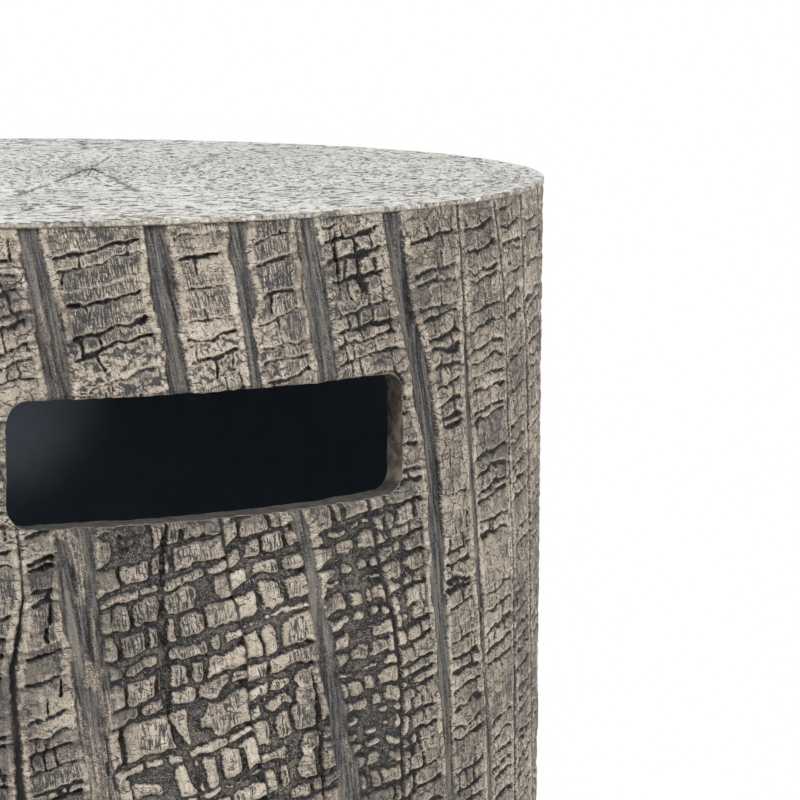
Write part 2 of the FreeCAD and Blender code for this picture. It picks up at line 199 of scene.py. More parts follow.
# Character of the bark, as shares: worn apart, combed, crazed or cobbled, split upright, painted and boldly
# cracked
FRONT = (0.2, 0.5, 0.1, 0.45, 0.56, 0.7)
PATCHES = (
    # middle, reach and softness of each patch in millimetres, then its character
    ((0, 50), (15, 62), 8, (0.0, 0.2, 0.2, 0.9, 0.42, 0.3)),
    ((72, 24), (58, 28), 8, (0.0, 1.0, 0.0, 0.35, 0.55, 0.65)),
    ((56, 45), (38, 8), 6, (0.05, 0.5, 0.9, 0.4, 0.68, 0.6)),
    ((115, 28), (16, 26), 6, (0.1, 0.4, 0.5, 0.9, 0.76, 0.6)),
    ((174, 44), (36, 60), 12, (0.0, 0.35, 0.2, 0.7, 0.56, 0.3)),
    ((8, 160), (20, 68), 8, (0.06, 0.95, 0.0, 0.6, 0.28, 0.6)),
    ((38, 150), (6, 60), 6, (0.6, 0.3, 0.3, 0.8, 0.45, 0.8)),
    ((54, 156), (13, 64), 8, (0.85, 0.7, 0.0, 0.8, 0.72, 1.0)),
    ((84, 156), (16, 64), 8, (1.0, 0.8, 0.0, 0.9, 0.74, 1.0)),
    ((121, 156), (13, 64), 8, (0.95, 0.4, 0.3, 1.0, 0.52, 1.0)),
    ((142, 156), (7, 62), 6, (0.6, 0.3, 0.3, 1.0, 0.56, 0.9)),
    ((210, 156), (55, 62), 14, (0.17, 0.5, 0.15, 0.65, 0.64, 0.5)),
)
FRONT_MIDDLE = 115.0
FRONT_REACH = 150.0
FRONT_FOOT = 215.0
FRONT_FADE = 50.0

# Pith of the table top, and the drying checks that show most, each from (x, y) to (x, y)
PITH = (46.5, 3.5)
PITH_DEPTH = 0.6
CHECKS = (
    ((46.5, 6.0), (10.5, -48.0)),
    ((10.5, -48.0), (-27.0, -101.0)),
    ((46.5, 3.5), (35.0, -39.5)),
    ((35.0, -39.5), (13.3, -112.7)),
    ((97.2, 183.1), (66.3, 116.3)),
    ((109.4, 153.6), (88.0, 102.0)),
    ((87.7, 7.7), (75.3, -27.0)),
    ((-37.0, -135.0), (-47.0, -162.0)),
    ((14.3, -178.1), (3.0, -199.0)),
    ((-13.7, -187.4), (-20.4, -199.0)),
)

# Fine drying checks of the table top, all round the pith, and the share of them that start away from it
SPOKES = 58
FAR_SPOKES = 0.7

# Table top outside its ringed face, with the rim as (in from the wall's face, down from the top)
RIM_RADIUS = RADIUS - 0.9
RIM_PROFILE = ((0.45, 0.15), (0.12, 0.45), (0.02, 0.9), (0.02, 1.4))
SPIGOT_CLEARANCE = 1.0
SPIGOT_CHAMFER = 2.0
UNDERSIDE_RING = 20.0

# Thickened ring inside the foot of the wall
THROAT = 172.0
THROAT_COVER = 10.0
RING_TAPER = 26.0
RING_STEPS = 180

# Grids of the meshes: rows down the front to a change and from it to the foot, rows down the back, steps
# between the rows and columns of a stave's bore side, and rings and columns of the table top
GRID_CHANGE = 222.0
UPPER_ROWS = 437
FOOT_ROWS = 217
BACK_ROWS = 399
BORE_ROW_STEP = 14
BORE_COLUMN_STEP = 12
TOP_RINGS = 236
TOP_COLUMNS = 396

# Strips of bark, each from a furrow to the next, in each stave
FRONT_STAVES = (range(-2, 0), range(0, 2), range(2, 4), range(4, 6), range(6, 8))
BACK_STAVES = (range(8, 15), range(15, 22), range(22, 29), range(29, 36), range(36, 42))

# Stage, in metres and degrees: size, place and target of each area lamp, the spot, the floor and the camera.
# White floor is the distance, in millimetres, over which the floor goes over into white
LAMPS = {
    "left": (0.8, (-2.3, -1.1, 1.9), (0.0, 0.0, 0.4)),
    "right": (0.8, (1.9, -1.7, 1.7), (0.0, 0.0, 0.4)),
    "rear": (1.2, (0.5, 2.5, 0.75), (0.0, 0.0, 0.25)),
    "bore": (0.15, (0.0, -0.05, 0.15), (0.0, 0.02, 0.45)),
}
GLOW_PLACE = (0.02, 0.06, 0.35)
GLOW_TARGET = (0.072, 0.171, 0.402)
GLOW_ANGLE = 44.0
GLOW_SIZE = 0.01
WHITE_FLOOR = (260.0, 700.0)
FLOOR_RADIUS = 12.0
FLOOR_SIDES = 96
CAMERA_PLACE = (-0.3800, -0.9621, 0.5833)
CAMERA_TURN = (81.458, -0.204, -29.852)
SENSOR_WIDTH = 36.0


def faded(share):
    """Smooth step of a share, held between 0 and 1."""
    share = np.clip(share, 0.0, 1.0)
    return share * share * (3 - 2 * share)


def mixed(first, second, share):
    return first + (second - first) * share


def scatter(column, row, draw):
    """Random number from 0 to 1 for each cell and draw, the same in each run."""
    column = np.asarray(column).astype(np.int64)
    row = np.asarray(row).astype(np.int64)
    value = (column * 73856093) ^ (row * 19349663) ^ (draw * 83492791 + 12345)
    value = value & 0xFFFFFFFF
    value = ((value ^ (value >> 15)) * 2246822519) & 0xFFFFFFFF
    value = ((value ^ (value >> 13)) * 3266489917) & 0xFFFFFFFF
    value = value ^ (value >> 16)
    return value / 0xFFFFFFFF


def cloud(across, down, wide, tall, draw):
    """Smooth noise from -1 to 1, with lumps of about the given size. It meets itself round the drum."""
    lumps = max(3, round(CIRCUMFERENCE / wide))
    x = across * (lumps / CIRCUMFERENCE)
    y = down / tall
    column = np.floor(x)
    row = np.floor(y)
    share_x = faded(x - column)
    share_y = faded(y - row)
    left, right = column % lumps, (column + 1) % lumps
    upper = mixed(scatter(left, row, draw), scatter(right, row, draw), share_x)
    lower = mixed(scatter(left, row + 1, draw), scatter(right, row + 1, draw), share_x)
    return 2 * mixed(upper, lower, share_y) - 1


def layered(across, down, *layers):
    """Sum of clouds, each given as its strength, the width and height of its lumps, and its draw."""
    return sum(strength * cloud(across, down, *lumps) for strength, *lumps in layers)


def rough(across, down, wide, tall, draw):
    """Three layers of cloud, each finer and weaker than the last."""
    return layered(across, down, (1, wide, tall, draw), (0.5, wide / 2.1, tall / 2.1, draw + 1),
                   (0.25, wide / 4.3, tall / 4.3, draw + 2))


def cells(position, key, jitter, draw):
    """Number of the cell that each position is in, and how far its two uneven borders are, in cells."""
    base = np.floor(position)
    lower = base + jitter * (scatter(base, key, draw) - 0.5)
    upper = base + 1 + jitter * (scatter(base + 1, key, draw) - 0.5)
    number = base - (position < lower) + (position >= upper)
    lower = number + jitter * (scatter(number, key, draw) - 0.5)
    upper = number + 1 + jitter * (scatter(number + 1, key, draw) - 0.5)
    return number, position - lower, upper - position


def furrow_tops():
    """Polar angles of the furrows at the top of the wall."""
    repeats = round(360 / sum(FURROW_GAPS))
    stretch = 360 / (repeats * sum(FURROW_GAPS))
    angle = FURROW_START
    angles = []
    for gap in FURROW_GAPS * repeats:
        angles.append(math.radians(angle))
        angle += gap * stretch
    return angles


TOPS = furrow_tops()


def furrow_shift(number, down):
    """How far along the surface a furrow has moved from its place at the top."""
    quarter_wave = 2 * GRAIN_UPRIGHT_BELOW_TOP / math.pi
    grain = math.tan(math.radians(GRAIN_LEAN)) * quarter_wave * np.sin(down / quarter_wave)
    long_wander = LONG_WANDER * math.sin(LONG_STEP * number) * np.sin(2 * math.pi * down / LONG_WAVE)
    short_wander = SHORT_WANDER * math.sin(SHORT_STEP * number) * np.sin(2 * math.pi * down / SHORT_WAVE)
    return grain + long_wander + short_wander


def furrow_habit(number, down):
    """Drift, share of the width, blackness and patchiness of a furrow."""
    habit = FURROW_HABITS.get(number, PLAIN_HABIT)
    return [np.interp(down, HABIT_DEPTHS, np.broadcast_to(trait, len(HABIT_DEPTHS))) for trait in habit]


def furrow_across(number, down):
    """Place of a furrow's middle, in millimetres across. Numbers past the last go on round the drum."""
    turns, number = divmod(number, len(TOPS))
    top = (TOPS[number] - FACING + 2 * math.pi * turns) * RADIUS
    return top + furrow_shift(number, down) + furrow_habit(number, down)[0]


def furrow_swell(number, down):
    return 1 - SWELL_SHARE * (1 - np.sin(SWELL_STEP * number + 2 * math.pi * down / SWELL_WAVE))


def patch(across, down, middle, reach, soft):
    """1 inside an upright patch of the wall, fading to 0 outside it."""
    beyond = np.maximum(abs(across - middle[0]) - reach[0], abs(down - middle[1]) - reach[1])
    return 1 - faded(beyond / soft + 0.5)


def bark_character(across, down):
    """Shares of wear, comb, cobbles, upright splits, paint and boldness. The front's are listed patch by
    patch.
    """
    ragged = 4 * rough(across, down, 18, 18, 11)
    x, y = across + ragged, down + ragged
    wear = faded(0.45 + 0.75 * cloud(across, down, 95, 120, 12)) * faded((down - 60) / 80)
    comb = 0.55 + 0.45 * cloud(across, down, 60, 60, 13)
    cobble = faded(0.3 + 0.9 * cloud(across, down, 45, 30, 14))
    upright = 0.6 + 0.4 * cloud(across, down, 80, 90, 15)
    paint = 0.5 + 0.2 * cloud(across, down, 50, 60, 16)
    bold = 0.6 + 0.4 * cloud(across, down, 70, 50, 19)
    elsewhere = np.stack([wear, comb, cobble, upright, paint, bold])
    shape = (-1,) + (1,) * across.ndim
    front = np.broadcast_to(np.reshape(FRONT, shape), elsewhere.shape)
    for middle, reach, soft, character in PATCHES:
        front = mixed(front, np.reshape(character, shape), patch(x, y, middle, reach, soft))
    beside = faded((abs(across - FRONT_MIDDLE) - FRONT_REACH) / FRONT_FADE)
    below = faded((down - FRONT_FOOT) / FRONT_FADE)
    return mixed(front, elsewhere, np.maximum(beside, below))


def split_gap(across, down):
    """Gap to the nearest long split, which wanders a little."""
    nearest = np.full(across.shape, NO_CRACK)
    wave = layered(across, down, (0.8, 9, 9, 17), (0.3, 2.4, 2.4, 18))
    for (first_x, first_y), (last_x, last_y), half in SPLITS:
        share = np.clip((down - first_y) / (last_y - first_y), 0, 1)
        past = np.maximum(first_y - down, down - last_y)
        taper = half * faded(-past / SPLIT_TAPER)
        beside = abs(across + wave - mixed(first_x, last_x, share))
        nearest = np.minimum(nearest, np.hypot(beside, np.maximum(past, 0)) - taper)
    return nearest


def furrow_groove(number, offset, down, sizes):
    """One furrow: how far outside its edge each place is, its depth, its slivers and its blackness."""
    side = np.where(offset < 0, 0, 90)
    line = side + FURROW_NOISE_STEP * number
    wobble = rough(line, down, 10, 12, 21)
    jag = cloud(line, down, 2.4, 2.2, 24)
    swell = furrow_swell(number, down)
    width_share, blackness, patchy = furrow_habit(number, down)[1:]
    half = (sizes.furrow_width / MM / 2 * swell + 0.9 * wobble) * width_share + 0.3 * jag
    gap = abs(offset) - half
    across = offset + FURROW_NOISE_STEP * number
    fibre = layered(across, down, (1, 0.9, 16, 26), (0.6, 0.6, 7, 27))
    sliver = faded((cloud(across, down, 1.5, 24, 28) - 0.5) * 6) * faded((-gap - 0.5) / 0.5)
    sliver = sliver * faded(0.4 + cloud(across, down, 30, 45, 29)) * (1 - blackness)
    lumps = faded(0.5 + 1.6 * rough(across, down, 5, 9, 68))
    sliver = np.maximum(sliver, 0.8 * patchy * lumps)
    depth = (sizes.furrow_depth / MM * swell * 0.85 + FIBRE_HEIGHT * fibre
             + 0.3 * cloud(across, down, 5, 22, 30) - SLIVER_HEIGHT * sliver)
    return gap, depth, sliver, blackness


def crack_half(number, key, drift, wear, boldness):
    """Half width of a cross crack and its share of the depth. Some are hidden where the bark isn't worn."""
    draw = scatter(number, key, 41)
    shows = faded((draw - CRACKS_FROM) / 0.1)
    bold = faded((draw - BOLD_FROM) / 0.08)
    whole = mixed(HIDDEN_CRACK, THIN_CRACK, shows) + BOLD_EXTRA * bold * boldness + CRACK_DRIFT * drift
    apart = 0.7 + 0.75 * scatter(number, key, 62) + 0.35 * drift
    return mixed(whole, apart, wear), mixed(0.45 + 0.55 * bold * boldness, 1.0, wear)


def cross_cracks(strip, slanted, come_and_go, wear, boldness, sizes):
    """Row of each place, its gaps to the cracks above and below, and the nearer crack's share of depth."""
    change = sizes.row_change / MM
    pitch_above, pitch_below = sizes.upper_row / MM, sizes.lower_row * BIG_BLOCKS.get(strip, 1.0) / MM
    upper = slanted < change
    pitch = np.where(upper, pitch_above, pitch_below)
    rows = np.where(upper, slanted / pitch_above, change / pitch_above + (slanted - change) / pitch_below)
    row, above, under = cells(rows + scatter(strip, 2, 38), strip, 0.7, 39)
    upper_half, upper_depth = crack_half(row, strip, come_and_go, wear, boldness)
    lower_half, lower_depth = crack_half(row + 1, strip, come_and_go, wear, boldness)
    upper_gap = above * pitch - upper_half
    lower_gap = under * pitch - lower_half
    return row, upper_gap, lower_gap, np.where(upper_gap < lower_gap, upper_depth, lower_depth)


def upright_cracks(row_key, from_left, width, block_width, come_and_go, wear, upright):
    """Column of each place, and its gap to the nearest upright crack of its row."""
    pitch = width / np.maximum(1, np.round(width / block_width))
    column, left, right = cells(from_left / pitch + 0.8 * scatter(row_key, 3, 42), row_key, 0.8, 43)
    gaps = []
    for beside, number in ((left, column), (right, column + 1)):
        draw = scatter(number, row_key, 44)
        half = 0.15 + 0.25 * draw + 0.3 * come_and_go + wear * (0.4 + 0.7 * draw)
        missing = NO_CRACK * (scatter(number, row_key, 63) > upright)
        gaps.append(beside * pitch - half + missing)
    return column, np.minimum(*gaps)


def plate_depth(gap, crack_share, lumps, block_draw, wear, across, down, sizes):
    """Depth of the plates: pillow-shaped blocks, the cracks between them and lumpy beds in the wide ones."""
    share = np.clip(gap / (0.45 + 1.1 * wear), 0, 1)
    pillow = share * (2 - share)
    floor = faded(-gap / 0.5)
    texture = layered(across, down, (0.14, 1.5, 1.5, 53), (0.2, 3.2, 3.2, 51))
    return (0.2 + 0.2 * block_draw * (0.4 + wear) + 0.15 * (1 + cloud(across, down, 45, 60, 57))
            + (1 - pillow) * crack_share * (sizes.crack_depth / MM + 0.35 * wear)
            + floor * 0.35 * crack_share - 0.6 * lumps + texture)


def caught_paint_and_rim_light(paint, tone, upper_gap, lower_gap, inner, wear, across, down):
    """Share of paint on the plates. It catches on a block's lower rim, which also gets a painted highlight,
    and beside furrows. A block's upper rim gets painted shade.
    """
    # Lower rim lighter: paint caught there and a painted highlight. Upper rim darker: painted shade
    lower_rim_catch_and_highlight = faded((1.7 - lower_gap) / 1.1) * faded(lower_gap / 0.3)
    upper_rim_painted_shade = faded((1.0 - upper_gap) / 0.8)
    rim_paint_and_light = 0.55 * lower_rim_catch_and_highlight * (0.4 + 0.6 * wear) - 0.35 * upper_rim_painted_shade
    beside_furrow = 0.22 * (1 - inner) * faded(0.5 + 1.2 * cloud(across, down, 12, 30, 69)) * (1 - wear)
    return np.clip(paint - 0.5 + tone + rim_paint_and_light + beside_furrow, 0, 1.6)


def plates(strip, from_left, width, across, down, edge_gap, sizes):
    """The cracked plates of one strip between furrows: their depth and what their paint needs."""
    wear, comb, cobble, upright, paint, boldness = bark_character(across, down)
    come_and_go = layered(across, down, (1, 8, 14, 40), (0.5, 3, 6, 61))
    slide_down = layered(across, down, (1.3, 14, 10, 31), (0.8, 4.2, 4.0, 32), (0.4, 1.7, 1.7, 33))
    slide_across = layered(across, down, (1.2, 7, 11, 34), (0.6, 2.4, 4, 35), (0.3, 1.2, 1.9, 36))
    rise = 0.06 + 0.14 * patch(across, down, (60, 150), (70, 150), 60) + 0.06 * scatter(strip, 1, 37)
    slanted = down + rise * from_left + slide_down
    row, upper_gap, lower_gap, crack_share = cross_cracks(strip, slanted, come_and_go, wear, boldness,
                                                          sizes)
    cross_gap = np.minimum(upper_gap, lower_gap)

    bigger = np.where(slanted < sizes.row_change / MM, 1.0, BIG_BLOCKS.get(strip, 1.0))
    column, upright_gap = upright_cracks(row + 100 * strip, from_left + slide_across, width,
                                         sizes.block_width / MM * bigger, come_and_go, wear, upright)

    lip = 1.6 + 1.2 * cloud(across, down, 20, 24, 48)
    inner = faded((edge_gap - lip) / 1.2)
    upright_gap = mixed(4.0, upright_gap, inner)
    cross_gap = cross_gap + (1 - inner) * 0.8 * (1 - wear)
    corner = 0.15 + 0.45 * wear
    gap = -corner * np.log(np.exp(-cross_gap / corner) + np.exp(-upright_gap / corner))
    long_gap = split_gap(across, down)
    crack_share = np.where(cross_gap < upright_gap, crack_share, mixed(0.5, 1.0, wear))
    crack_share = np.where(long_gap < gap, 1.3, crack_share)
    block = column + 37 * row
    gap = gap - 3.0 * (scatter(block, strip, 49) < LOST_BLOCKS) * faded((wear - 0.5) / 0.3) * inner
    gap = np.minimum(gap, long_gap) + 0.9 * (1 - faded((down - LIP - 1.0) / 3.0))

    lumps = faded(0.5 + 1.2 * rough(across, down, 3.4, 3.4, 52)) * faded(-gap / 0.4) * wear
    depth = plate_depth(gap, crack_share, lumps, scatter(block, strip, 56), wear, across, down, sizes)
    combed = comb * inner * faded(0.85 + 0.9 * cloud(across, down, 10, 12, 55))
    tone = 0.5 + 0.35 * (scatter(block, strip, 58) - 0.5) + 0.3 * cloud(across, down, 22, 28, 59)
    painted = caught_paint_and_rim_light(paint, tone, upper_gap, lower_gap, inner, wear, across, down)
    return depth, gap, wear, combed, cobble, painted, lumps


def hole_gap(angle, down):
    """How far outside the nearer hand-hole's outline each place is."""
    side = abs(RADIUS * np.cos(angle)) - (HAND_HOLE_WIDTH / 2 - HAND_HOLE_CORNER)
    level = abs(down - HAND_HOLE_CENTRE) - (HAND_HOLE_HEIGHT / 2 - HAND_HOLE_CORNER)
    outside = np.hypot(np.maximum(side, 0), np.maximum(level, 0)) + np.minimum(np.maximum(side, level), 0)
    return outside - HAND_HOLE_CORNER


def carved_strip(strip, down, pitch, sizes):
    """Angles, depths and paint of the strip between a furrow and the next, as rows by columns."""
    first = furrow_across(strip, down)[:, None]
    last = furrow_across(strip + 1, down)[:, None]
    columns = max(4, math.ceil((last - first).mean() / pitch))
    across = first + (last - first) * np.linspace(0, 1, columns + 1)[None, :]
    level = np.broadcast_to(down[:, None], across.shape)
    from_left, from_right = across - first, last - across

    left_number, right_number = strip % len(TOPS), (strip + 1) % len(TOPS)
    left = furrow_groove(left_number, from_left, level, sizes)
    right = furrow_groove(right_number, -from_right, level, sizes)
    nearer_left = from_left < from_right
    edge_gap, bed, sliver, blackness = [np.where(nearer_left, *pair) for pair in zip(left, right)]
    outside = faded((edge_gap + 0.6) / FURROW_EDGE)

    plate, gap, wear, comb, cobble, painted, lumps = plates(left_number, from_left, last - first, across,
                                                            level, edge_gap, sizes)
    angle = FACING + across / RADIUS
    broken = (1 - np.clip(hole_gap(angle, level) / BROKEN_EDGE, 0, 1)) ** 2
    depth = np.clip(mixed(bed, plate, outside) + BROKEN_DEPTH * broken, *CARVED_DEPTHS)
    carving = np.stack([np.clip(gap, *GAP_RANGE), np.clip(edge_gap, *EDGE_RANGE), wear, comb], -1)
    paint = np.stack([painted, cobble, lumps, sliver - blackness], -1)
    layer = np.full(across.shape, STRIP_NOISE_STEP * left_number)
    grain = np.stack([across - furrow_shift(left_number, level), level, layer], -1)
    return angle, depth, carving, paint, grain


def every(count, step):
    """Every so many places of a line, with its last."""
    return sorted({*range(0, count, step), count - 1})


def stitched(fine, coarse, places):
    """Triangles between two lines of vertices. Each coarse one lies beside one of the places of the fine."""
    faces = []
    beside = 0
    for step in range(len(fine) - 1):
        faces.append((int(fine[step]), int(fine[step + 1]), int(coarse[beside])))
        while beside + 1 < len(coarse) and 2 * (step + 1) >= places[beside] + places[beside + 1]:
            faces.append((int(fine[step + 1]), int(coarse[beside + 1]), int(coarse[beside])))
            beside += 1
    return faces


def grid_faces(numbers):
    """Quads between the vertices of a grid, given as rows by columns of vertex numbers."""
    corners = (numbers[:-1, :-1], numbers[1:, :-1], numbers[1:, 1:], numbers[:-1, 1:])
    return np.stack([corner.ravel() for corner in corners], -1).tolist()


def round_place(angle, radius, height):
    return np.stack([radius * np.cos(angle), radius * np.sin(angle), height], -1)


def turned(profile, turn):
    """Rings of points round the drum's axis, one for each radius and height of the profile."""
    return np.array([round_place(turn, radius, np.full(len(turn), height)) for radius, height in profile])


def select_only(piece):
    bpy.ops.object.select_all(action="DESELECT")
    piece.select_set(True)
    bpy.context.view_layer.objects.active = piece


def new_mesh(name, points, faces, slots=()):
    """Object with these vertices, in millimetres, and faces, which may have material slots."""
    mesh = bpy.data.meshes.new(name)
    mesh.from_pydata((points * MM).tolist(), [], faces)
    if slots:
        mesh.polygons.foreach_set("material_index", slots)
    piece = bpy.data.objects.new(name, mesh)
    bpy.context.scene.collection.objects.link(piece)
    select_only(piece)
    bpy.ops.object.mode_set(mode="EDIT")
    bpy.ops.mesh.select_all(action="SELECT")
    bpy.ops.mesh.normals_make_consistent(inside=False)
    bpy.ops.object.mode_set(mode="OBJECT")
    return piece


def write_attribute(mesh, name, values):
    """Give each vertex a number, three numbers or four."""
    kinds = {1: ("FLOAT", "value"), 3: ("FLOAT_VECTOR", "vector"), 4: ("FLOAT_COLOR", "color")}
    kind, field = kinds[values.shape[1]]
    attribute = mesh.attributes.new(name, kind, "POINT")
    attribute.data.foreach_set(field, np.ascontiguousarray(values, np.float32).ravel())


def stave(name, strips, down, pitch, sizes):
    """A closed stave of the log: carved outside, plain on its bore side."""
    parts = [carved_strip(strip, down, pitch, sizes) for strip in strips]
    layers = []
    for layer in range(len(parts[0])):
        rest = [part[layer][:, 1:] for part in parts[1:]]
        layers.append(np.concatenate([parts[0][layer]] + rest, 1))
    angle, depth, carving, paint, grain = layers
    rows, columns = angle.shape
    height = HEIGHT - np.broadcast_to(down[:, None], angle.shape)
    outer = round_place(angle, RADIUS - depth, height).reshape(-1, 3)

    inner_rows, inner_columns = every(rows, BORE_ROW_STEP), every(columns, BORE_COLUMN_STEP)
    kept = np.ix_(inner_rows, inner_columns)
    inner = round_place(angle[kept], BORE, height[kept]).reshape(-1, 3)

    outside = np.arange(rows * columns).reshape(rows, columns)
    inside = rows * columns + np.arange(len(inner)).reshape(angle[kept].shape)
    outer_faces = grid_faces(outside)
    inner_faces = grid_faces(inside[:, ::-1])
    sides = []
    for fine, coarse, places in ((outside.T, inside.T, inner_rows), (outside, inside, inner_columns)):
        for end in (0, -1):
            sides += stitched(fine[end], coarse[end], places)
    slots = [0] * (len(outer_faces) + len(sides)) + [1] * len(inner_faces)
    piece = new_mesh(name, np.concatenate([outer, inner]), outer_faces + sides + inner_faces, slots)
    for attribute, values in (("carving", carving), ("paint", paint), ("grain", grain)):
        values = values.reshape(-1, values.shape[-1])
        blank = np.zeros((len(inner), values.shape[-1]))
        write_attribute(piece.data, attribute, np.concatenate([values, blank]))
    return piece


class Value:
    """A number, vector or colour in a node tree. Sums and products of values make their own nodes."""

    def __init__(self, nodes, socket):
        self.nodes = nodes
        self.socket = socket

    def sibling(self, result):
        """Another result of the same node."""
        return Value(self.nodes, self.socket.node.outputs[result])

    def maths(self, operation, other=0.0):
        return self.nodes.node("Math", {0: self, 1: other}, operation=operation)

    def __add__(self, other):
        return self.maths("ADD", other)

    def __sub__(self, other):
        return self.maths("SUBTRACT", other)

    def __mul__(self, other):
        return self.maths("MULTIPLY", other)

    def about(self, share, middle=0.5):
        """The distance from a middle, times a share."""
        return self.nodes.node("Math", {0: self, 1: share, 2: -middle * share}, operation="MULTIPLY_ADD")

    def window(self, low, high, result_low=0.0, result_high=1.0):
        """The value moved from one range to another, smoothly, and held inside it."""
        return self.nodes.node("MapRange", {"Value": self, "From Min": low, "From Max": high,
                                            "To Min": result_low, "To Max": result_high},
                               interpolation_type="SMOOTHSTEP")

    def blend(self, first, second):
        """Colour that goes from the first to the second as the value goes from 0 to 1."""
        return self.nodes.node("Mix", {0: self, 6: first, 7: second}, 2, data_type="RGBA")

    def ramp(self, *stops):
        """Colour that goes from stop to stop, each given as a value and a colour."""
        colour = stops[0][1]
        for (low, _), (high, following) in zip(stops, stops[1:]):
            colour = self.window(low, high).blend(colour, following)
        return colour


class Nodes:
    """A node tree, with short calls for the nodes that a finish or the room needs."""

    def __init__(self, owner):
        owner.use_nodes = True
        self.tree = owner.node_tree

    def feed(self, socket, value):
        """Link a socket to a value, or give it a number or a colour."""
        if isinstance(value, Value):
            self.tree.links.new(value.socket, socket)
        elif socket.type == "RGBA":
            socket.default_value = (*value, 1.0)
        else:
            socket.default_value = value

    def node(self, kind, inputs, result=0, **settings):
        node = self.tree.nodes.new("ShaderNode" + kind)
        for key, setting in settings.items():
            setattr(node, key, setting)
        for key, value in inputs.items():
            self.feed(node.inputs[key], value)
        return Value(self, node.outputs[result])

    def seen(self):
        """1 for rays from the camera and from gloss, and 0 for the rest."""
        camera = self.node("LightPath", {}, "Is Camera Ray")
        return camera.maths("MAXIMUM", camera.sibling("Is Glossy Ray"))


class Finish(Nodes):
    """A new material's nodes."""

    def __init__(self, name, roughness):
        self.material = bpy.data.materials.new(name)
        super().__init__(self.material)
        self.shader = self.tree.nodes["Principled BSDF"]
        self.shader.inputs["Roughness"].default_value = roughness

    def attribute(self, name, result="Vector"):
        return self.node("Attribute", {}, result, attribute_name=name)

    def channels(self, name):
        """The four numbers that a colour attribute holds."""
        colour = self.attribute(name, "Color")
        red = self.node("SeparateColor", {"Color": colour})
        return red, red.sibling("Green"), red.sibling("Blue"), colour.sibling("Alpha")

    def place(self):
        """The place on the piece, in millimetres."""
        return self.stretched(self.node("TexCoord", {}, "Object"), PER_MM)

    def stretched(self, vector, scale):
        """The vector times a scale, given as one number or three."""
        scale = scale if isinstance(scale, tuple) else (scale,) * 3
        return self.node("Mapping", {"Vector": vector, "Scale": scale})

    def noise(self, vector, scale, detail=3.0, roughness=0.6):
        return self.node("TexNoise", {"Vector": self.stretched(vector, scale), "Scale": 1.0, "Detail": detail,
                                      "Roughness": roughness})

    def warped(self, vector, scale, reach):
        """The vector pushed about by noise, by up to half of the reach."""
        push = self.node("TexNoise", {"Vector": vector, "Scale": scale, "Detail": 3.0, "Roughness": 0.6},
                         "Color")
        push = self.node("VectorMath", {0: push, 1: (0.5, 0.5, 0.5)}, operation="SUBTRACT")
        push = self.node("VectorMath", {0: push, 1: (reach, reach, 0.0)}, operation="MULTIPLY")
        return self.node("VectorMath", {0: vector, 1: push}, operation="ADD")

    def cobbles(self, vector, scale):
        """Distance to the middle of the nearest cobble, in cobbles."""
        return self.node("TexVoronoi", {"Vector": self.stretched(vector, scale), "Scale": 1.0,
                                        "Randomness": 0.85}, "Distance")

    def joints(self, vector, scale):
        """Distance to the nearest joint between uneven cells, in cells."""
        return self.node("TexVoronoi", {"Vector": self.stretched(vector, scale), "Scale": 1.0}, "Distance",
                         feature="DISTANCE_TO_EDGE")

    def bump(self, height, scale=1.0):
        """Bump from a height in millimetres, times a scale."""
        bump = self.node("Bump", {"Height": height, "Strength": 1.0, "Distance": scale * MM})
        self.feed(self.shader.inputs["Normal"], bump)

    def colour(self, value):
        self.feed(self.shader.inputs["Base Color"], value)

    def roughness(self, value):
        self.feed(self.shader.inputs["Roughness"], value)


def linear(red, green, blue):
    """Linear colour of an 8-bit display colour."""
    shares = [value / 255 for value in (red, green, blue)]
    return tuple(share / 12.92 if share <= 0.04045 else ((share + 0.055) / 1.055) ** 2.4 for share in shares)


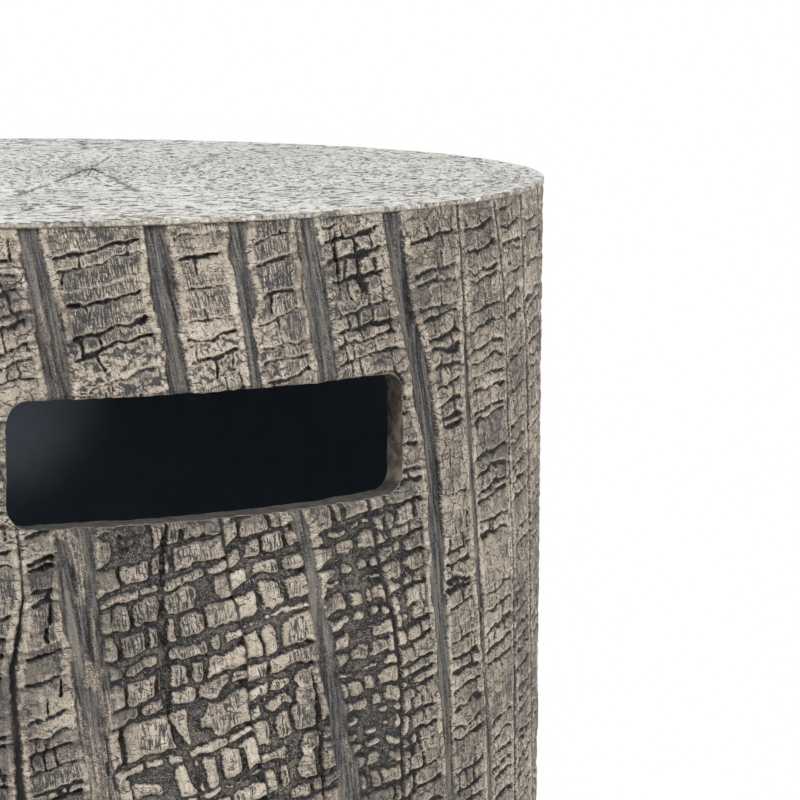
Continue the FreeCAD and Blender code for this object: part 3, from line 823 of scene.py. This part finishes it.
def bark_finish(colours):
    """Dry-brushed tan over charcoal grey: paint stays on what stands proud, and the cracks' black is painted
    shade.
    """
    finish = Finish("charred_bark_paint", 0.8)
    gap, edge, wear, comb = finish.channels("carving")
    painted, cobble, lumps, sliver = finish.channels("paint")
    grain = finish.attribute("grain")

    ragged = finish.noise(grain, (0.9, 0.75, 3.0), 4.0, 0.7)
    grit = finish.noise(grain, (2.3, 2.0, 2.0), 3.0, 0.7)
    specks = finish.noise(grain, (2.4, 2.2, 5.0), 2.0, 0.5)
    rubble = finish.noise(grain, (0.7, 0.75, 4.0), 3.0, 0.7)
    teeth = finish.noise(grain, (1.5, 0.22, 7.0), 2.0, 0.6)
    combing = finish.noise(grain, (2.1, 0.3, 9.0), 2.0, 0.6)
    fibres = finish.noise(grain, (1.3, 0.07, 3.0), 4.0, 0.65)
    stains = finish.noise(grain, (0.13, 0.10, 1.0), 3.0, 0.6)
    warped = finish.warped(grain, 0.5, 1.6)
    stones = finish.cobbles(warped, (0.48, 0.55, 1.0))
    craze = finish.joints(warped, (0.16, 0.2, 1.0))
    creep = finish.noise(warped, (0.11, 0.33, 6.0), 2.0, 0.5)

    # Marks in the paint of the plates
    gap = gap + ragged.about(2.2)
    edge = edge + ragged.about(2.0) + fibres.about(0.8)
    block = gap.window(-0.15, 0.35)
    core = gap.window(0.35, 1.1)
    wide = teeth.window(0.45, 0.5, 1.5, 0.0) * wear.window(0.2, 0.6)
    fine = combing.window(0.5, 0.57, 1.0, 0.0) * wear.window(0.2, 0.6, 0.8, 0.0)
    groove = (wide + fine) * comb * core
    joint = (stones + ragged.about(0.5)).window(0.55, 0.72) * cobble.window(0.3, 0.7) * core
    hair = ((craze + ragged.about(0.12)).window(0.015, 0.055, 1.0, 0.0) * comb.window(0.35, 0.75, 1.0, 0.15)
            * wear.window(0.3, 0.6, 1.0, 0.0) * cobble.window(0.03, 0.12) * core)
    slit = ((creep - 0.5).maths("ABSOLUTE").window(0.006, 0.02, 1.0, 0.0)
            * stains.window(0.4, 0.55, 0.35, 1.0) * core)
    pit = grit.window(0.54, 0.63)
    dot = specks.window(0.58, 0.64)
    # Painted glints: pale specks that stand in for highlights
    painted_glint = specks.window(0.395, 0.34)

    # Paint on the plates, with a painted highlight on the blocks' lower rims and painted shade on their upper
    # rims
    cover = (block * 0.88 + painted.about(1.0) + rubble.about(0.9) + stains.about(0.7) + grit.about(1.1)
             + fibres.about(0.7) + ragged.about(0.5))
    cover = cover - (groove * 0.95 + joint * 0.85 + hair * 0.5 + slit * 0.9 + pit * 0.5 + dot * 0.6)
    plate = cover.ramp((0.0, colours.charcoal), (0.45, colours.brown), (1.0, colours.tan),
                       (1.4, colours.cream))

    # Beds of the cracks: black painted shade, but speckled in wide ones between worn blocks, with painted
    # glints
    speckle = rubble + grit.about(0.8) + lumps * 0.12
    speckle = speckle.ramp((0.38, colours.black), (0.5, colours.charcoal), (0.7, colours.brown))
    # Cream specks in the crack beds are painted glints
    speckle = (painted_glint * 0.8).blend(speckle, colours.cream)
    # Black towards the bottom of a wide bed is painted shade
    shaded_worn_bed = gap.window(-0.95, -0.3, 0.0, 0.7).blend(speckle, colours.black)
    # Narrow cracks are black all through: painted shade
    crack = wear.window(0.2, 0.6).blend(colours.black, shaded_worn_bed)
    plate = gap.window(-0.3, 0.1, 1.0, 0.0).blend(plate, crack)

    # Beds of the furrows: grey fibres, brushed tan on slivers, black in charred ones and along shaded edges
    bands = finish.noise(grain, (0.35, 0.02, 2.0), 3.0, 0.6)
    streak = fibres + grit.about(0.8) + rubble.about(0.3) + bands.about(1.1)
    bed = streak.ramp((0.32, colours.black), (0.45, colours.furrow_grey), (0.66, colours.furrow_pale))
    # Pale painted glints in the furrows' beds
    bed = (painted_glint * 0.5).blend(bed, colours.furrow_pale)
    brush = grit + fibres.about(0.8) + ragged.about(0.6)
    brushed = brush.ramp((0.36, colours.charcoal), (0.5, colours.brown), (0.68, colours.tan))
    bed = (sliver + ragged.about(1.0)).window(0.25, 0.6).blend(bed, brushed)
    bed = sliver.window(-0.2, -0.9, 0.0, 0.85).blend(bed, colours.black)
    shade = edge.window(-1.0, -0.2) * stains.window(0.42, 0.6)
    bed = (shade * 0.8).blend(bed, colours.black)
    finish.colour((edge + grit.about(2.4)).window(-0.5, 0.5).blend(bed, plate))
    finish.roughness(cover.window(0.0, 0.8, 0.38, 0.8))

    lumpy = rubble * gap.window(-0.4, 0.2, 2.6, 0.3)
    finish.bump(groove * -0.8 + joint * -0.7 + hair * -0.5 + slit * -0.6 + pit * -0.5 + block * 0.7
                + ragged * 1.1 + lumpy + grit * 0.8 + fibres * 0.9 + painted_glint * 0.4, 2.0)
    return finish.material


def bore_finish(colours):
    """Dark blue-black coat inside the drum."""
    finish = Finish("bore_coat", 0.5)
    mottle = finish.noise(finish.place(), 0.06, 4.0)
    finish.colour(mottle.window(0.3, 0.7).blend(colours.bore, colours.bore_light))
    finish.bump(mottle * 0.5, 0.6)
    return finish.material


def reveal_finish(colours):
    """Rough, half-painted cement in the sides of the hand-holes, darker where it faces up."""
    finish = Finish("hand_hole_reveal", 0.85)
    place = finish.place()
    lumps = finish.noise(place, 0.26, 5.0)
    grit = finish.noise(place, 1.1, 3.0, 0.7)
    colour = lumps.window(0.35, 0.65).blend(colours.reveal, colours.reveal_light)
    colour = grit.window(0.58, 0.75, 0.0, 0.7).blend(colour, colours.brown)
    facing = finish.node("NewGeometry", {}, "Normal")
    upward = finish.node("SeparateXYZ", {"Vector": facing}, "Z").window(0.3, 0.8, 0.0, 0.7)
    finish.colour(upward.blend(colour, colours.black))
    finish.bump(lumps * 0.8 + grit * 0.35)
    return finish.material


def ring_finish(colours):
    """Pale, hammered paint over the growth rings, grey in the pits, with a tan band round the rim."""
    finish = Finish("ringed_top_paint", 0.75)
    ring = finish.attribute("ring")
    relief = finish.attribute("ring_relief", "Fac")
    rim = finish.attribute("rim", "Fac")
    place = finish.place()
    dashes = finish.noise(ring, (0.27, 0.09, 1.0), 4.0, 0.65)
    hammered = finish.noise(place, 0.22, 4.0, 0.7)
    pits = finish.noise(place, 0.4)
    stains = finish.noise(place, 0.02)
    hollow = ((dashes + hammered.about(0.5)).window(0.54, 0.61) + pits.window(0.56, 0.63, 0.0, 0.9)
              + relief.about(-1.2, 1.0))
    cover = hammered.about(1.2) + stains.about(0.8) + 0.5
    colour = cover.ramp((0.1, colours.grey), (0.6, colours.pale))
    colour = hollow.window(0.0, 1.2, 0.0, 0.95).blend(colour, colours.pit)
    streaks = finish.noise(ring, (0.3, 0.75, 1.0), 3.0, 0.65)
    patches = finish.noise(place, 0.09)
    band = streaks + hammered.about(0.9) + patches.about(1.1)
    band = band.ramp((0.3, colours.rim_dark), (0.52, colours.rim), (0.8, colours.pale))
    # Darker at the rim's lower edge, where it meets the lip
    darker_lower_edge = (rim + hammered.about(1.2)).window(1.1, 1.8, 0.0, 0.75)
    finish.colour(rim.window(0.0, 1.0).blend(colour, darker_lower_edge.blend(band, colours.rim_dark)))
    finish.bump(hammered * 1.9 + hollow.window(0.0, 1.0) * -0.9)
    return finish.material


def mottled_finish(name, colour, other, roughness, grain, metallic=0.0):
    """A finely mottled coat for a small piece. The grain is in lumps to the millimetre."""
    finish = Finish(name, roughness)
    finish.shader.inputs["Metallic"].default_value = metallic
    mottle = finish.noise(finish.place(), grain, 4.0)
    finish.colour(mottle.window(0.35, 0.65).blend(colour, other))
    finish.bump(mottle * 0.1, 0.5)
    return finish.material


def apply_modifiers(piece):
    select_only(piece)
    for modifier in list(piece.modifiers):
        bpy.ops.object.modifier_apply(modifier=modifier.name)


def hand_hole_cutter(name, side, material):
    """Rounded bar with rough faces that opens one hand-hole. Side is -1 at the front and 1 at the rear."""
    middle = Vector((0.0, side * (RADIUS - CUTTER_INSET), HEIGHT - HAND_HOLE_CENTRE))
    bpy.ops.object.select_all(action="DESELECT")
    bpy.ops.mesh.primitive_cube_add(size=1.0, location=middle * MM)
    cutter = bpy.context.object
    cutter.scale = Vector((HAND_HOLE_WIDTH, 2 * CUTTER_REACH, HAND_HOLE_HEIGHT)) * MM
    cutter.name = name
    bpy.ops.object.transform_apply(location=True, rotation=True, scale=True)
    bevel = cutter.modifiers.new("corners", "BEVEL")
    bevel.width = HAND_HOLE_CORNER * MM
    bevel.segments = CUTTER_SEGMENTS
    for edge in cutter.data.edges:
        first, last = (cutter.data.vertices[number].co for number in edge.vertices)
        edge.select = abs(first.y - last.y) > CUTTER_REACH * MM
    weights = cutter.data.attributes.new("bevel_weight_edge", "FLOAT", "EDGE")
    weights.data.foreach_set("value", [float(edge.select) for edge in cutter.data.edges])
    bevel.limit_method = "WEIGHT"
    remesh = cutter.modifiers.new("even_grid", "REMESH")
    remesh.mode = "VOXEL"
    remesh.voxel_size = CUTTER_GRID * MM
    for label, scale, strength in (("lumps", 9.0, 0.9), ("grit", 2.2, 0.5)):
        texture = bpy.data.textures.new(label, "CLOUDS")
        texture.noise_scale = scale * MM
        displace = cutter.modifiers.new(label, "DISPLACE")
        displace.texture = texture
        displace.texture_coords = "LOCAL"
        displace.strength = strength * MM
        displace.mid_level = 0.5
    apply_modifiers(cutter)
    cutter.data.materials.append(material)
    return cutter


def cut(piece, cutter):
    """Take the cutter out of a piece. The new faces keep the cutter's material."""
    modifier = piece.modifiers.new("hand_hole", "BOOLEAN")
    modifier.object = cutter
    modifier.operation = "DIFFERENCE"
    modifier.solver = "MANIFOLD"
    modifier.material_mode = "TRANSFER"
    apply_modifiers(piece)


def reaches_hole(piece, side):
    """Whether a stave has any place in front of a hand-hole."""
    points = np.zeros(len(piece.data.vertices) * 3, np.float32)
    piece.data.vertices.foreach_get("co", points)
    x, y, z = points.reshape(-1, 3).T / MM
    level = abs(z - (HEIGHT - HAND_HOLE_CENTRE)) < HAND_HOLE_HEIGHT / 2
    width = abs(x) < HAND_HOLE_WIDTH / 2
    return bool((level & width & (y * side > 0)).any())


def finished(piece, node):
    """Shade a finished piece, hang it on the drum's body, and let it stand for a node."""
    select_only(piece)
    bpy.ops.object.shade_smooth_by_angle(angle=math.radians(60))
    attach(piece, "root")
    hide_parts(node)


def length(name, description, value):
    """A size in millimetres as a property in Blender's own unit."""
    return bpy.props.FloatProperty(name=name, description=description, default=value * MM, min=0.0,
                                   precision=5, unit="LENGTH")


def colour(name, description, *display):
    return bpy.props.FloatVectorProperty(name=name, description=description, default=linear(*display),
                                         min=0.0, max=1.0, subtype="COLOR")


def power(name, description, value):
    return bpy.props.FloatProperty(name=name, description=description, default=value, min=0.0, unit="POWER")


class LogSizes(bpy.types.PropertyGroup):
    furrow_width: length("Furrow Width", "Width of a furrow where it is widest", 8.0)
    furrow_depth: length("Furrow Depth", "Depth of a furrow where it is widest", 2.0)
    crack_depth: length("Crack Depth", "Depth of the cracks round a block", 1.35)
    upper_row: length("Upper Row", "Height of the blocks beside and over the hand-holes", 5.2)
    lower_row: length("Lower Row", "Height of the blocks under the hand-holes", 5.4)
    row_change: length("Row Change", "Depth below the top where the lower rows start", 90.0)
    block_width: length("Block Width", "Width of a block between upright cracks", 6.6)
    front_grid: length("Front Grid", "Spacing of the mesh on the front staves", 0.46)
    back_grid: length("Back Grid", "Spacing of the mesh on the back staves", 1.25)
    ring_spacing: length("Ring Spacing", "Growth of the log in a year", 3.6)


class CoverColours(bpy.types.PropertyGroup):
    tan: colour("Tan", "Paint brushed on the high spots of the bark", 212, 198, 178)
    # Cream is also painted light: the glints in the crack beds, and with the caught paint the highlight on
    # the blocks' lower rims
    cream: colour("Cream", "Thick paint caught on the rims of the blocks", 242, 230, 212)
    brown: colour("Brown", "Thin paint on the bark", 131, 121, 108)
    charcoal: colour("Charcoal", "Coat under the paint", 62, 64, 66)
    # Black is also painted shade at the bottom of the cracks and along the furrows' shaded edges
    black: colour("Black", "Bottom of the cracks", 22, 22, 22)
    furrow_grey: colour("Furrow Grey", "Bed of the furrows", 82, 84, 86)
    # Furrow pale also paints the glints in the furrows' beds
    furrow_pale: colour("Furrow Pale", "Fibres in the furrows", 146, 138, 127)
    bore: colour("Bore", "Coat inside the drum", 66, 77, 92)
    bore_light: colour("Bore Light", "Thin places of the coat inside the drum", 76, 88, 104)
    reveal: colour("Reveal", "Cement in the sides of the hand-holes", 52, 48, 43)
    reveal_light: colour("Reveal Light", "High spots in the sides of the hand-holes", 104, 95, 83)
    pale: colour("Pale", "Paint on the table top", 201, 200, 195)
    grey: colour("Grey", "Worn paint on the table top", 162, 161, 156)
    pit: colour("Pit", "Pits and checks of the table top", 70, 69, 67)
    rim: colour("Rim", "Paint on the rim of the table top", 154, 146, 133)
    # Rim dark is also the darker lower edge of the rim, where it meets the lip
    rim_dark: colour("Rim Dark", "Worn paint on the rim", 84, 80, 74)


class StageSettings(bpy.types.PropertyGroup):
    floor: colour("Floor", "Paint of the floor", 232, 232, 230)
    room_light: bpy.props.FloatProperty(name="Room Light", description="Strength of the room as a light",
                                        default=0.3, min=0.0)
    left_power: power("Left Power", "Power of the lamp on the left", 90.0)
    right_power: power("Right Power", "Power of the lamp on the right", 76.0)
    rear_power: power("Rear Power", "Power of the lamp behind the drum", 40.0)
    bore_power: power("Bore Power", "Power of the dim lamp that shows the bore", 0.1)
    glow_power: power("Glow Power", "Power of the lamp for the glow from the rear hand-hole", 0.12)
    lens: bpy.props.FloatProperty(name="Lens", description="Focal length of the camera", default=131.07,
                                  unit="CAMERA")


class CarveLogStaves(bpy.types.Operator):
    """Carve the charred log's sides as staves and open the hand-holes"""

    bl_idname = "cover_table.carve_log_staves"
    bl_label = "Carve Log Staves"

    def execute(self, context):
        sizes, colours = context.scene.cover_sizes, context.scene.cover_colours
        materials = bark_finish(colours), bore_finish(colours), reveal_finish(colours)
        upper, lower = np.linspace(LIP, GRID_CHANGE, UPPER_ROWS), np.linspace(GRID_CHANGE, FOOT, FOOT_ROWS)
        front, back = np.concatenate([upper, lower[1:]]), np.linspace(LIP, FOOT, BACK_ROWS)
        staves = []
        for side, groups, down, pitch in (("front", FRONT_STAVES, front, sizes.front_grid / MM),
                                          ("back", BACK_STAVES, back, sizes.back_grid / MM)):
            for letter, strips in zip("abcde", groups):
                staves.append(stave("log_{}_stave_{}".format(side, letter), strips, down, pitch, sizes))
        cutters = {side: hand_hole_cutter(name, side, materials[-1])
                   for name, side in (("front_cut", -1), ("rear_cut", 1))}
        for piece in staves:
            for material in materials:
                piece.data.materials.append(material)
            for side, cutter in cutters.items():
                if reaches_hole(piece, side):
                    cut(piece, cutter)
            finished(piece, "side_shell")
        for cutter in cutters.values():
            bpy.data.objects.remove(cutter)
        return {"FINISHED"}


def check_cut(x, y):
    """How far the marked drying checks are cut into each place, as a share."""
    deepest = np.zeros(x.shape)
    for first, last in CHECKS:
        run = np.subtract(last, first)
        along = np.clip(((x - first[0]) * run[0] + (y - first[1]) * run[1]) / (run @ run), 0, 1)
        beside = np.hypot(x - first[0] - along * run[0], y - first[1] - along * run[1])
        deepest = np.maximum(deepest, 1 - faded((beside - 0.3) / 1.1))
    return deepest


def ring_cuts(arc, out, spacing):
    """How far the growth rings are cut into each place, as a share."""
    wobble = layered(arc, out, (1.6, 70, 60, 81), (0.8, 22, 30, 82), (0.5, 7, 9, 80))
    ring, inward, outward = cells((out + wobble) / spacing, 0, 0.8, 83)
    gap = np.minimum(inward, outward) * spacing
    come_and_go = faded(0.6 + 0.9 * cloud(arc, out, 16, 6, 85))
    return (1 - faded(gap / (0.6 + 0.6 * scatter(ring, 0, 84)))) * come_and_go


def spoke_cuts(turn, arc, out, reach):
    """How far the fine drying checks are cut into each place, as a share."""
    place = turn[None, :] * SPOKES / (2 * math.pi) + 0.2 * cloud(arc, out, 40, 14, 87)
    spoke, before, after = cells(place, 0, 0.9, 88)
    nearest = np.where(before < after, spoke, spoke + 1) % SPOKES
    gap = np.minimum(before, after) * 2 * math.pi * np.maximum(reach, 1) / SPOKES
    first = 90 * scatter(nearest, 0, 90) ** 2 * (scatter(nearest, 0, 91) < FAR_SPOKES)
    last = first + 14 + 60 * scatter(nearest, 0, 89) ** 2
    return (1 - faded(gap / 0.75)) * (1 - faded((reach - last) / 10)) * faded((reach - first - 1) / 6)


def ring_carving(turn, share, x, y, spacing):
    """Depth and relief of the table top's growth rings and drying checks, as rings by columns."""
    reach = np.hypot(x - PITH[0], y - PITH[1])
    arc = np.broadcast_to(turn[None, :] * RADIUS, reach.shape)
    out = np.broadcast_to(share * RIM_RADIUS, reach.shape)
    ring_cut = ring_cuts(arc, out, spacing)
    bend = 0.7 * cloud(arc, out, 7, 7, 93)
    marked = check_cut(x + bend, y + bend) * faded(0.75 + 0.8 * cloud(arc, out, 12, 9, 94))
    check = np.maximum(0.8 * spoke_cuts(turn, arc, out, reach), 1.3 * marked)
    edge = faded((RADIUS - 3 - out) / 3)
    hammered = layered(arc, out, (1, 2.6, 2.6, 86), (0.7, 5.5, 4.0, 92))
    depth = 0.3 + 0.14 * hammered + 0.45 * ring_cut + 0.7 * check
    relief = 1 - np.clip(0.55 * ring_cut + 0.9 * check, 0, 1.3) * edge
    return mixed(0.06, depth, edge), relief


def top_face(turn, spacing):
    """The table top's carved face as rings by columns of points, and its relief."""
    share = (np.arange(1, TOP_RINGS + 1) / TOP_RINGS)[:, None]
    x = PITH[0] * (1 - share) + RIM_RADIUS * share * np.cos(turn)[None, :]
    y = PITH[1] * (1 - share) + RIM_RADIUS * share * np.sin(turn)[None, :]
    depth, relief = ring_carving(turn, share, x, y, spacing)
    return np.stack([x, y, HEIGHT - depth], -1), relief


def top_skirt(turn):
    """The rim, lip, spigot and underside of the table top, as rings by columns of points."""
    seat, spigot = HEIGHT - LIP, BORE - SPIGOT_CLEARANCE
    profile = [(RADIUS - inward, HEIGHT - below) for inward, below in RIM_PROFILE]
    profile += [(profile[-1][0], seat), (BORE, seat), (spigot, seat),
                (spigot, SPIGOT_BOTTOM + SPIGOT_CHAMFER), (spigot - SPIGOT_CHAMFER, SPIGOT_BOTTOM),
                (UNDERSIDE_RING, SPIGOT_BOTTOM)]
    return turned(profile, turn)


class LayRingedTop(bpy.types.Operator):
    """Lay the table top with growth rings, drying checks and a smooth rim"""

    bl_idname = "cover_table.lay_ringed_top"
    bl_label = "Lay Ringed Top"

    def execute(self, context):
        turn = np.arange(TOP_COLUMNS) * 2 * math.pi / TOP_COLUMNS
        face, relief = top_face(turn, context.scene.cover_sizes.ring_spacing / MM)
        grid = np.concatenate([face, top_skirt(turn)])
        rows = len(grid)
        count = rows * TOP_COLUMNS
        wrapped = np.pad(np.arange(count).reshape(rows, TOP_COLUMNS), ((0, 0), (0, 1)), mode="wrap")
        faces = grid_faces(wrapped)
        for line, pole in ((wrapped[0], count), (wrapped[-1], count + 1)):
            faces += [(int(first), int(last), pole) for first, last in zip(line, line[1:])]
        poles = [[*PITH, HEIGHT - PITH_DEPTH], [0, 0, SPIGOT_BOTTOM]]
        points = np.concatenate([grid.reshape(-1, 3), poles])
        piece = new_mesh("ringed_top", points, faces)
        piece.data.materials.append(ring_finish(context.scene.cover_colours))

        row = np.arange(1, rows + 1)
        out = np.where(row > TOP_RINGS, RIM_RADIUS + row - TOP_RINGS, RIM_RADIUS * row / TOP_RINGS)
        ring, lowered, rim = np.zeros((len(points), 3)), np.ones((len(points), 1)), np.zeros((len(points), 1))
        ring[:count, 0] = np.repeat(out, TOP_COLUMNS)
        ring[:count, 1] = np.tile(turn * RADIUS, rows)
        lowered[:relief.size, 0] = relief.ravel()
        # The rim's paint starts at the second line under the face, and is darker where it meets the lip
        rim[(TOP_RINGS + 1) * TOP_COLUMNS:] = 1
        rim[(TOP_RINGS + len(RIM_PROFILE)) * TOP_COLUMNS:] = 2
        for name, values in (("ring", ring), ("ring_relief", lowered), ("rim", rim)):
            write_attribute(piece.data, name, values)
        finished(piece, "table_top")
        return {"FINISHED"}


class TurnFootRing(bpy.types.Operator):
    """Turn the thickened ring inside the foot of the wall"""

    bl_idname = "cover_table.turn_foot_ring"
    bl_label = "Turn Foot Ring"

    def execute(self, context):
        low, high = HEIGHT - FOOT, INSERT_TOP + THROAT_COVER
        corners = ((THROAT, low), (BORE, low), (BORE, high + RING_TAPER), (THROAT, high))
        grid = turned(corners, np.arange(RING_STEPS) * 2 * math.pi / RING_STEPS)
        numbers = np.arange(len(corners) * RING_STEPS).reshape(len(corners), RING_STEPS)
        faces = grid_faces(np.pad(numbers, (0, 1), mode="wrap"))
        piece = new_mesh("foot_ring", grid.reshape(-1, 3), faces)
        piece.data.materials.append(bpy.data.materials["bore_coat"])
        finished(piece, "side_shell")
        return {"FINISHED"}


class FinishSmallPieces(bpy.types.Operator):
    """Give the feet, screws, washers, inserts and bead their materials"""

    bl_idname = "cover_table.finish_small_pieces"
    bl_label = "Finish Small Pieces"

    def execute(self, context):
        rubber = mottled_finish("foot_rubber_moulded", linear(26, 26, 27), linear(40, 40, 41), 0.7, 0.4)
        steel = mottled_finish("zinc_plated_steel", linear(168, 170, 172), linear(196, 197, 198), 0.35, 0.7,
                               metallic=1.0)
        brass = mottled_finish("machined_brass", linear(190, 150, 84), linear(212, 174, 104), 0.3, 0.5,
                               metallic=1.0)
        bead = mottled_finish("cured_bead", linear(70, 68, 64), linear(92, 89, 84), 0.6, 0.3)
        finishes = {"foot_screws": steel, "foot_washers": steel, "rim_inserts": brass,
                    "top_bond_ring": bead}
        for name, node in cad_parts.items():
            material = rubber if name.startswith("rubber_foot") else finishes.get(name)
            if material:
                node.data.materials.clear()
                node.data.materials.append(material)
        return {"FINISHED"}


def add_lamp(kind, name, place, target, watts):
    """Add a lamp that points at its target, and give its settings."""
    turn = (Vector(target) - Vector(place)).to_track_quat("-Z", "Y").to_euler()
    bpy.ops.object.light_add(type=kind, location=place, rotation=turn)
    lamp = bpy.context.object
    lamp.name = name + "_lamp"
    lamp.data.energy = watts
    return lamp.data


def pale_floor(colours):
    """Floor paint that goes over into plain white far from the drum, where the camera or gloss sees it."""
    finish = Finish("pale_floor_paint", 0.9)
    finish.colour(colours.floor)
    glow = finish.node("Emission", {"Color": (1.0, 1.0, 1.0), "Strength": 1.0})
    distance = finish.node("VectorMath", {0: finish.place()}, "Value", operation="LENGTH")
    plain = finish.seen() * distance.window(*WHITE_FLOOR)
    paint = Value(finish, finish.shader.outputs[0])
    surface = finish.node("MixShader", {0: plain, 1: paint, 2: glow})
    finish.feed(finish.tree.nodes["Material Output"].inputs["Surface"], surface)
    return finish.material


def white_room(light):
    """World that lights the drum gently and shows as plain white."""
    world = bpy.data.worlds.new("white_room")
    room = Nodes(world)
    background = room.tree.nodes["Background"]
    room.feed(background.inputs["Color"], (1.0, 1.0, 1.0))
    room.feed(background.inputs["Strength"], room.seen().window(0.0, 1.0, light, 1.0))
    return world


class SetStage(bpy.types.Operator):
    """Set the pale floor, the soft lamps and the camera"""

    bl_idname = "cover_table.set_stage"
    bl_label = "Set Stage"

    def execute(self, context):
        scene = context.scene
        stage = scene.cover_stage
        scene.view_settings.view_transform = "Standard"
        bpy.ops.object.select_all(action="DESELECT")
        bpy.ops.mesh.primitive_circle_add(vertices=FLOOR_SIDES, radius=FLOOR_RADIUS, fill_type="NGON",
                                          location=(0, 0, 0))
        floor = context.object
        floor.name = "pale_floor"
        floor.data.materials.append(pale_floor(stage))
        scene.world = white_room(stage.room_light)
        for name, (size, place, target) in LAMPS.items():
            lamp = add_lamp("AREA", name, place, target, getattr(stage, name + "_power"))
            lamp.size = size
        glow = add_lamp("SPOT", "glow", GLOW_PLACE, GLOW_TARGET, stage.glow_power)
        glow.spot_size = math.radians(GLOW_ANGLE)
        glow.spot_blend = 1.0
        glow.shadow_soft_size = GLOW_SIZE
        turn = [math.radians(angle) for angle in CAMERA_TURN]
        bpy.ops.object.camera_add(location=CAMERA_PLACE, rotation=turn)
        camera = context.object
        camera.name = "photo_camera"
        camera.data.lens = stage.lens
        camera.data.sensor_width = SENSOR_WIDTH
        scene.camera = camera
        return {"FINISHED"}


class CoverTablePanel(bpy.types.Panel):
    """Lists the steps that dress the cover table, with its sizes and colours"""

    bl_idname = "VIEW3D_PT_cover_table"
    bl_label = "Cover Table"
    bl_space_type = "VIEW_3D"
    bl_region_type = "UI"
    bl_category = "Cover Table"

    def draw(self, context):
        for step in STEPS:
            self.layout.operator(step.bl_idname)
        for group in (context.scene.cover_sizes, context.scene.cover_colours, context.scene.cover_stage):
            box = self.layout.box()
            for name in group.bl_rna.properties.keys():
                if name not in ("rna_type", "name"):
                    box.prop(group, name)


STEPS = (CarveLogStaves, LayRingedTop, TurnFootRing, FinishSmallPieces, SetStage)
CLASSES = (LogSizes, CoverColours, StageSettings, *STEPS, CoverTablePanel)


def register():
    for each in CLASSES:
        bpy.utils.register_class(each)
    bpy.types.Scene.cover_sizes = bpy.props.PointerProperty(type=LogSizes)
    bpy.types.Scene.cover_colours = bpy.props.PointerProperty(type=CoverColours)
    bpy.types.Scene.cover_stage = bpy.props.PointerProperty(type=StageSettings)


def unregister():
    del bpy.types.Scene.cover_stage
    del bpy.types.Scene.cover_colours
    del bpy.types.Scene.cover_sizes
    for each in reversed(CLASSES):
        bpy.utils.unregister_class(each)


def main():
    register()
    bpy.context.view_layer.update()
    bpy.ops.cover_table.carve_log_staves()
    bpy.ops.cover_table.lay_ringed_top()
    bpy.ops.cover_table.turn_foot_ring()
    bpy.ops.cover_table.finish_small_pieces()
    bpy.ops.cover_table.set_stage()


if __name__ == "__main__":
    main()
